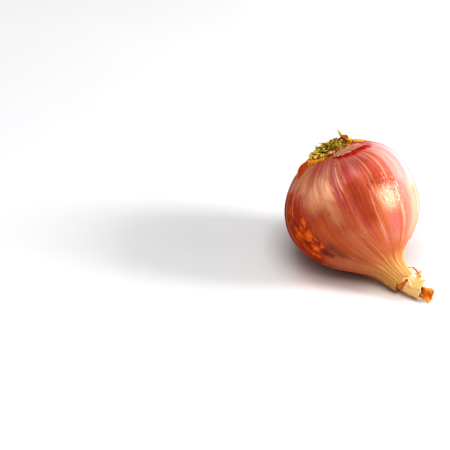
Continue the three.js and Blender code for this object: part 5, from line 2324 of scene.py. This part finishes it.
        # the crease layer marks the folds' hollows, for painted shade
        mesh = sheet(72, 64, at, {"crease": lambda u, v: smooth(-folds(u, v), -0.05, 0.35)})
        material = LeafFinish().material(effects)
        return piece("leaf_end", mesh, material, "dry_leaf_tip", (0.5, 0.0))

    def build(self, effects: SharedEffects) -> list[bpy.types.Object]:
        """Builds everything at the mouth."""
        made = [self.tube(effects), self.inner_lip(effects)]
        made += [strip.build(effects) for strip in self.strips()]
        return made + [self.leaf(effects)]


# ------------------------------------------------------------------ the studio


def away(azimuth: float, elevation: float) -> Vector:
    """The direction at an azimuth and elevation in degrees, from the object outward."""
    a, e = math.radians(azimuth), math.radians(elevation)
    return Vector((math.cos(a) * math.cos(e), math.sin(a) * math.cos(e), math.sin(e)))


def aim(thing: bpy.types.Object, outward: Vector) -> None:
    """Turns a light or camera to look against a direction."""
    thing.rotation_mode = "QUATERNION"
    thing.rotation_quaternion = outward.to_track_quat("Z", "Y")


@dataclass(frozen=True)
class SoftLight:
    """A rectangular light: direction to it in degrees, distance and sides in metres, and power.

    Where mirrored is false it lights the object but doesn't show in reflections.
    """

    name: str
    azimuth: float
    elevation: float
    width: float
    height: float
    power: float
    mirrored: bool = True
    distance: float = 1.2

    def build(self, target: Vector) -> None:
        """Adds the light, aimed at the target.

        Args:
            target: Where it is aimed.
        """
        data = bpy.data.lights.new(self.name, "AREA")
        data.shape = "RECTANGLE"
        data.size, data.size_y = self.width, self.height
        data.energy = self.power
        thing = linked(self.name, data)
        thing.visible_glossy = self.mirrored
        outward = away(self.azimuth, self.elevation)
        thing.location = target + outward * self.distance
        aim(thing, outward)


@dataclass
class Studio:
    """White floor, soft lights, pale surroundings and the camera."""

    camera_mm: tuple[float, float, float] = (173.1, -200.07, 198.32)
    azimuth: float = 48.6
    elevation: float = 35.5
    lens: float = 90.0
    target: tuple[float, float, float] = (0.0, 0.0, 0.018)
    room_strength: float = 0.045
    floor_half: float = 1.5
    lights: tuple[SoftLight, ...] = (
        SoftLight("window", 41, 23, 0.30, 0.36, 10.8),
        SoftLight("window_side", 55, 11, 0.06, 0.24, 0.5),
        SoftLight("window_glow", 37, 25, 1.0, 0.50, 3.0),
        SoftLight("overhead", -49, 74, 0.9, 0.9, 10.2, False),
        SoftLight("white_wall", 106, 12, 1.4, 0.7, 1.0),
        SoftLight("left_wall", 178, 9, 1.0, 0.35, 0.5),
        SoftLight("near_fill", -112, 38, 0.7, 0.5, 1.0),
        SoftLight("right_fill", -22, 32, 0.6, 0.5, 0.8),
    )

    def floor(self) -> None:
        """A white glossy tabletop."""
        bm = bmesh.new()
        bmesh.ops.create_grid(bm, x_segments=1, y_segments=1, size=self.floor_half)
        thing = linked("white_floor", finished("white_floor", bm))
        made, g, shader = new_material("white_top")
        cloud = g.noise(g.object_place(), 6.0, 3.0)
        shade = g.over(colour("#f6f6f8"), "#fbfbfb", g.spread(cloud, 0.3, 0.7))
        g.fill(shader, {"Base Color": shade, "Metallic": 0.08, "Roughness": 0.12, "IOR": 2.2})
        thing.data.materials.append(made)

    def camera(self) -> None:
        """Adds the camera, looking down at the object."""
        data = bpy.data.cameras.new("view")
        data.lens = self.lens
        data.sensor_width = 36.0
        data.clip_start, data.clip_end = 0.01, 20.0
        thing = linked("view", data)
        thing.location = Vector(self.camera_mm) * MM
        a, e = math.radians(self.azimuth), math.radians(self.elevation)
        aim(thing, Vector((math.sin(a) * math.cos(e), -math.cos(a) * math.cos(e), math.sin(e))))
        bpy.context.scene.camera = thing

    def surroundings(self) -> None:
        """A plain white room."""
        world = bpy.data.worlds.new("white_room")
        world.use_nodes = True
        back = world.node_tree.nodes["Background"]
        back.inputs[0].default_value = (1.0, 1.0, 1.0, 1.0)
        back.inputs[1].default_value = self.room_strength
        bpy.context.scene.world = world

    def build(self) -> None:
        """Sets up everything round the object."""
        self.floor()
        self.surroundings()
        self.camera()
        for light in self.lights:
            light.build(Vector(self.target))
        view = bpy.context.scene.view_settings
        view.view_transform = "Standard"
        view.look = "High Contrast"


# ------------------------------------------------------------------ assembly


def main() -> None:
    """Builds every piece in order."""
    logging.basicConfig(level=logging.INFO, format="%(name)s: %(message)s")
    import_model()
    effects = SharedEffects()
    made: list[bpy.types.Object] = [BulbSkin().build(effects)]
    made += RootEnd().build(effects)
    made += ShoulderSkins().build(effects)
    made += Neck().build(effects)
    Studio().build()
    for thing in made:
        LOG.info("%s: %d faces", thing.name, len(thing.data.polygons))


if __name__ == "__main__":
    main()
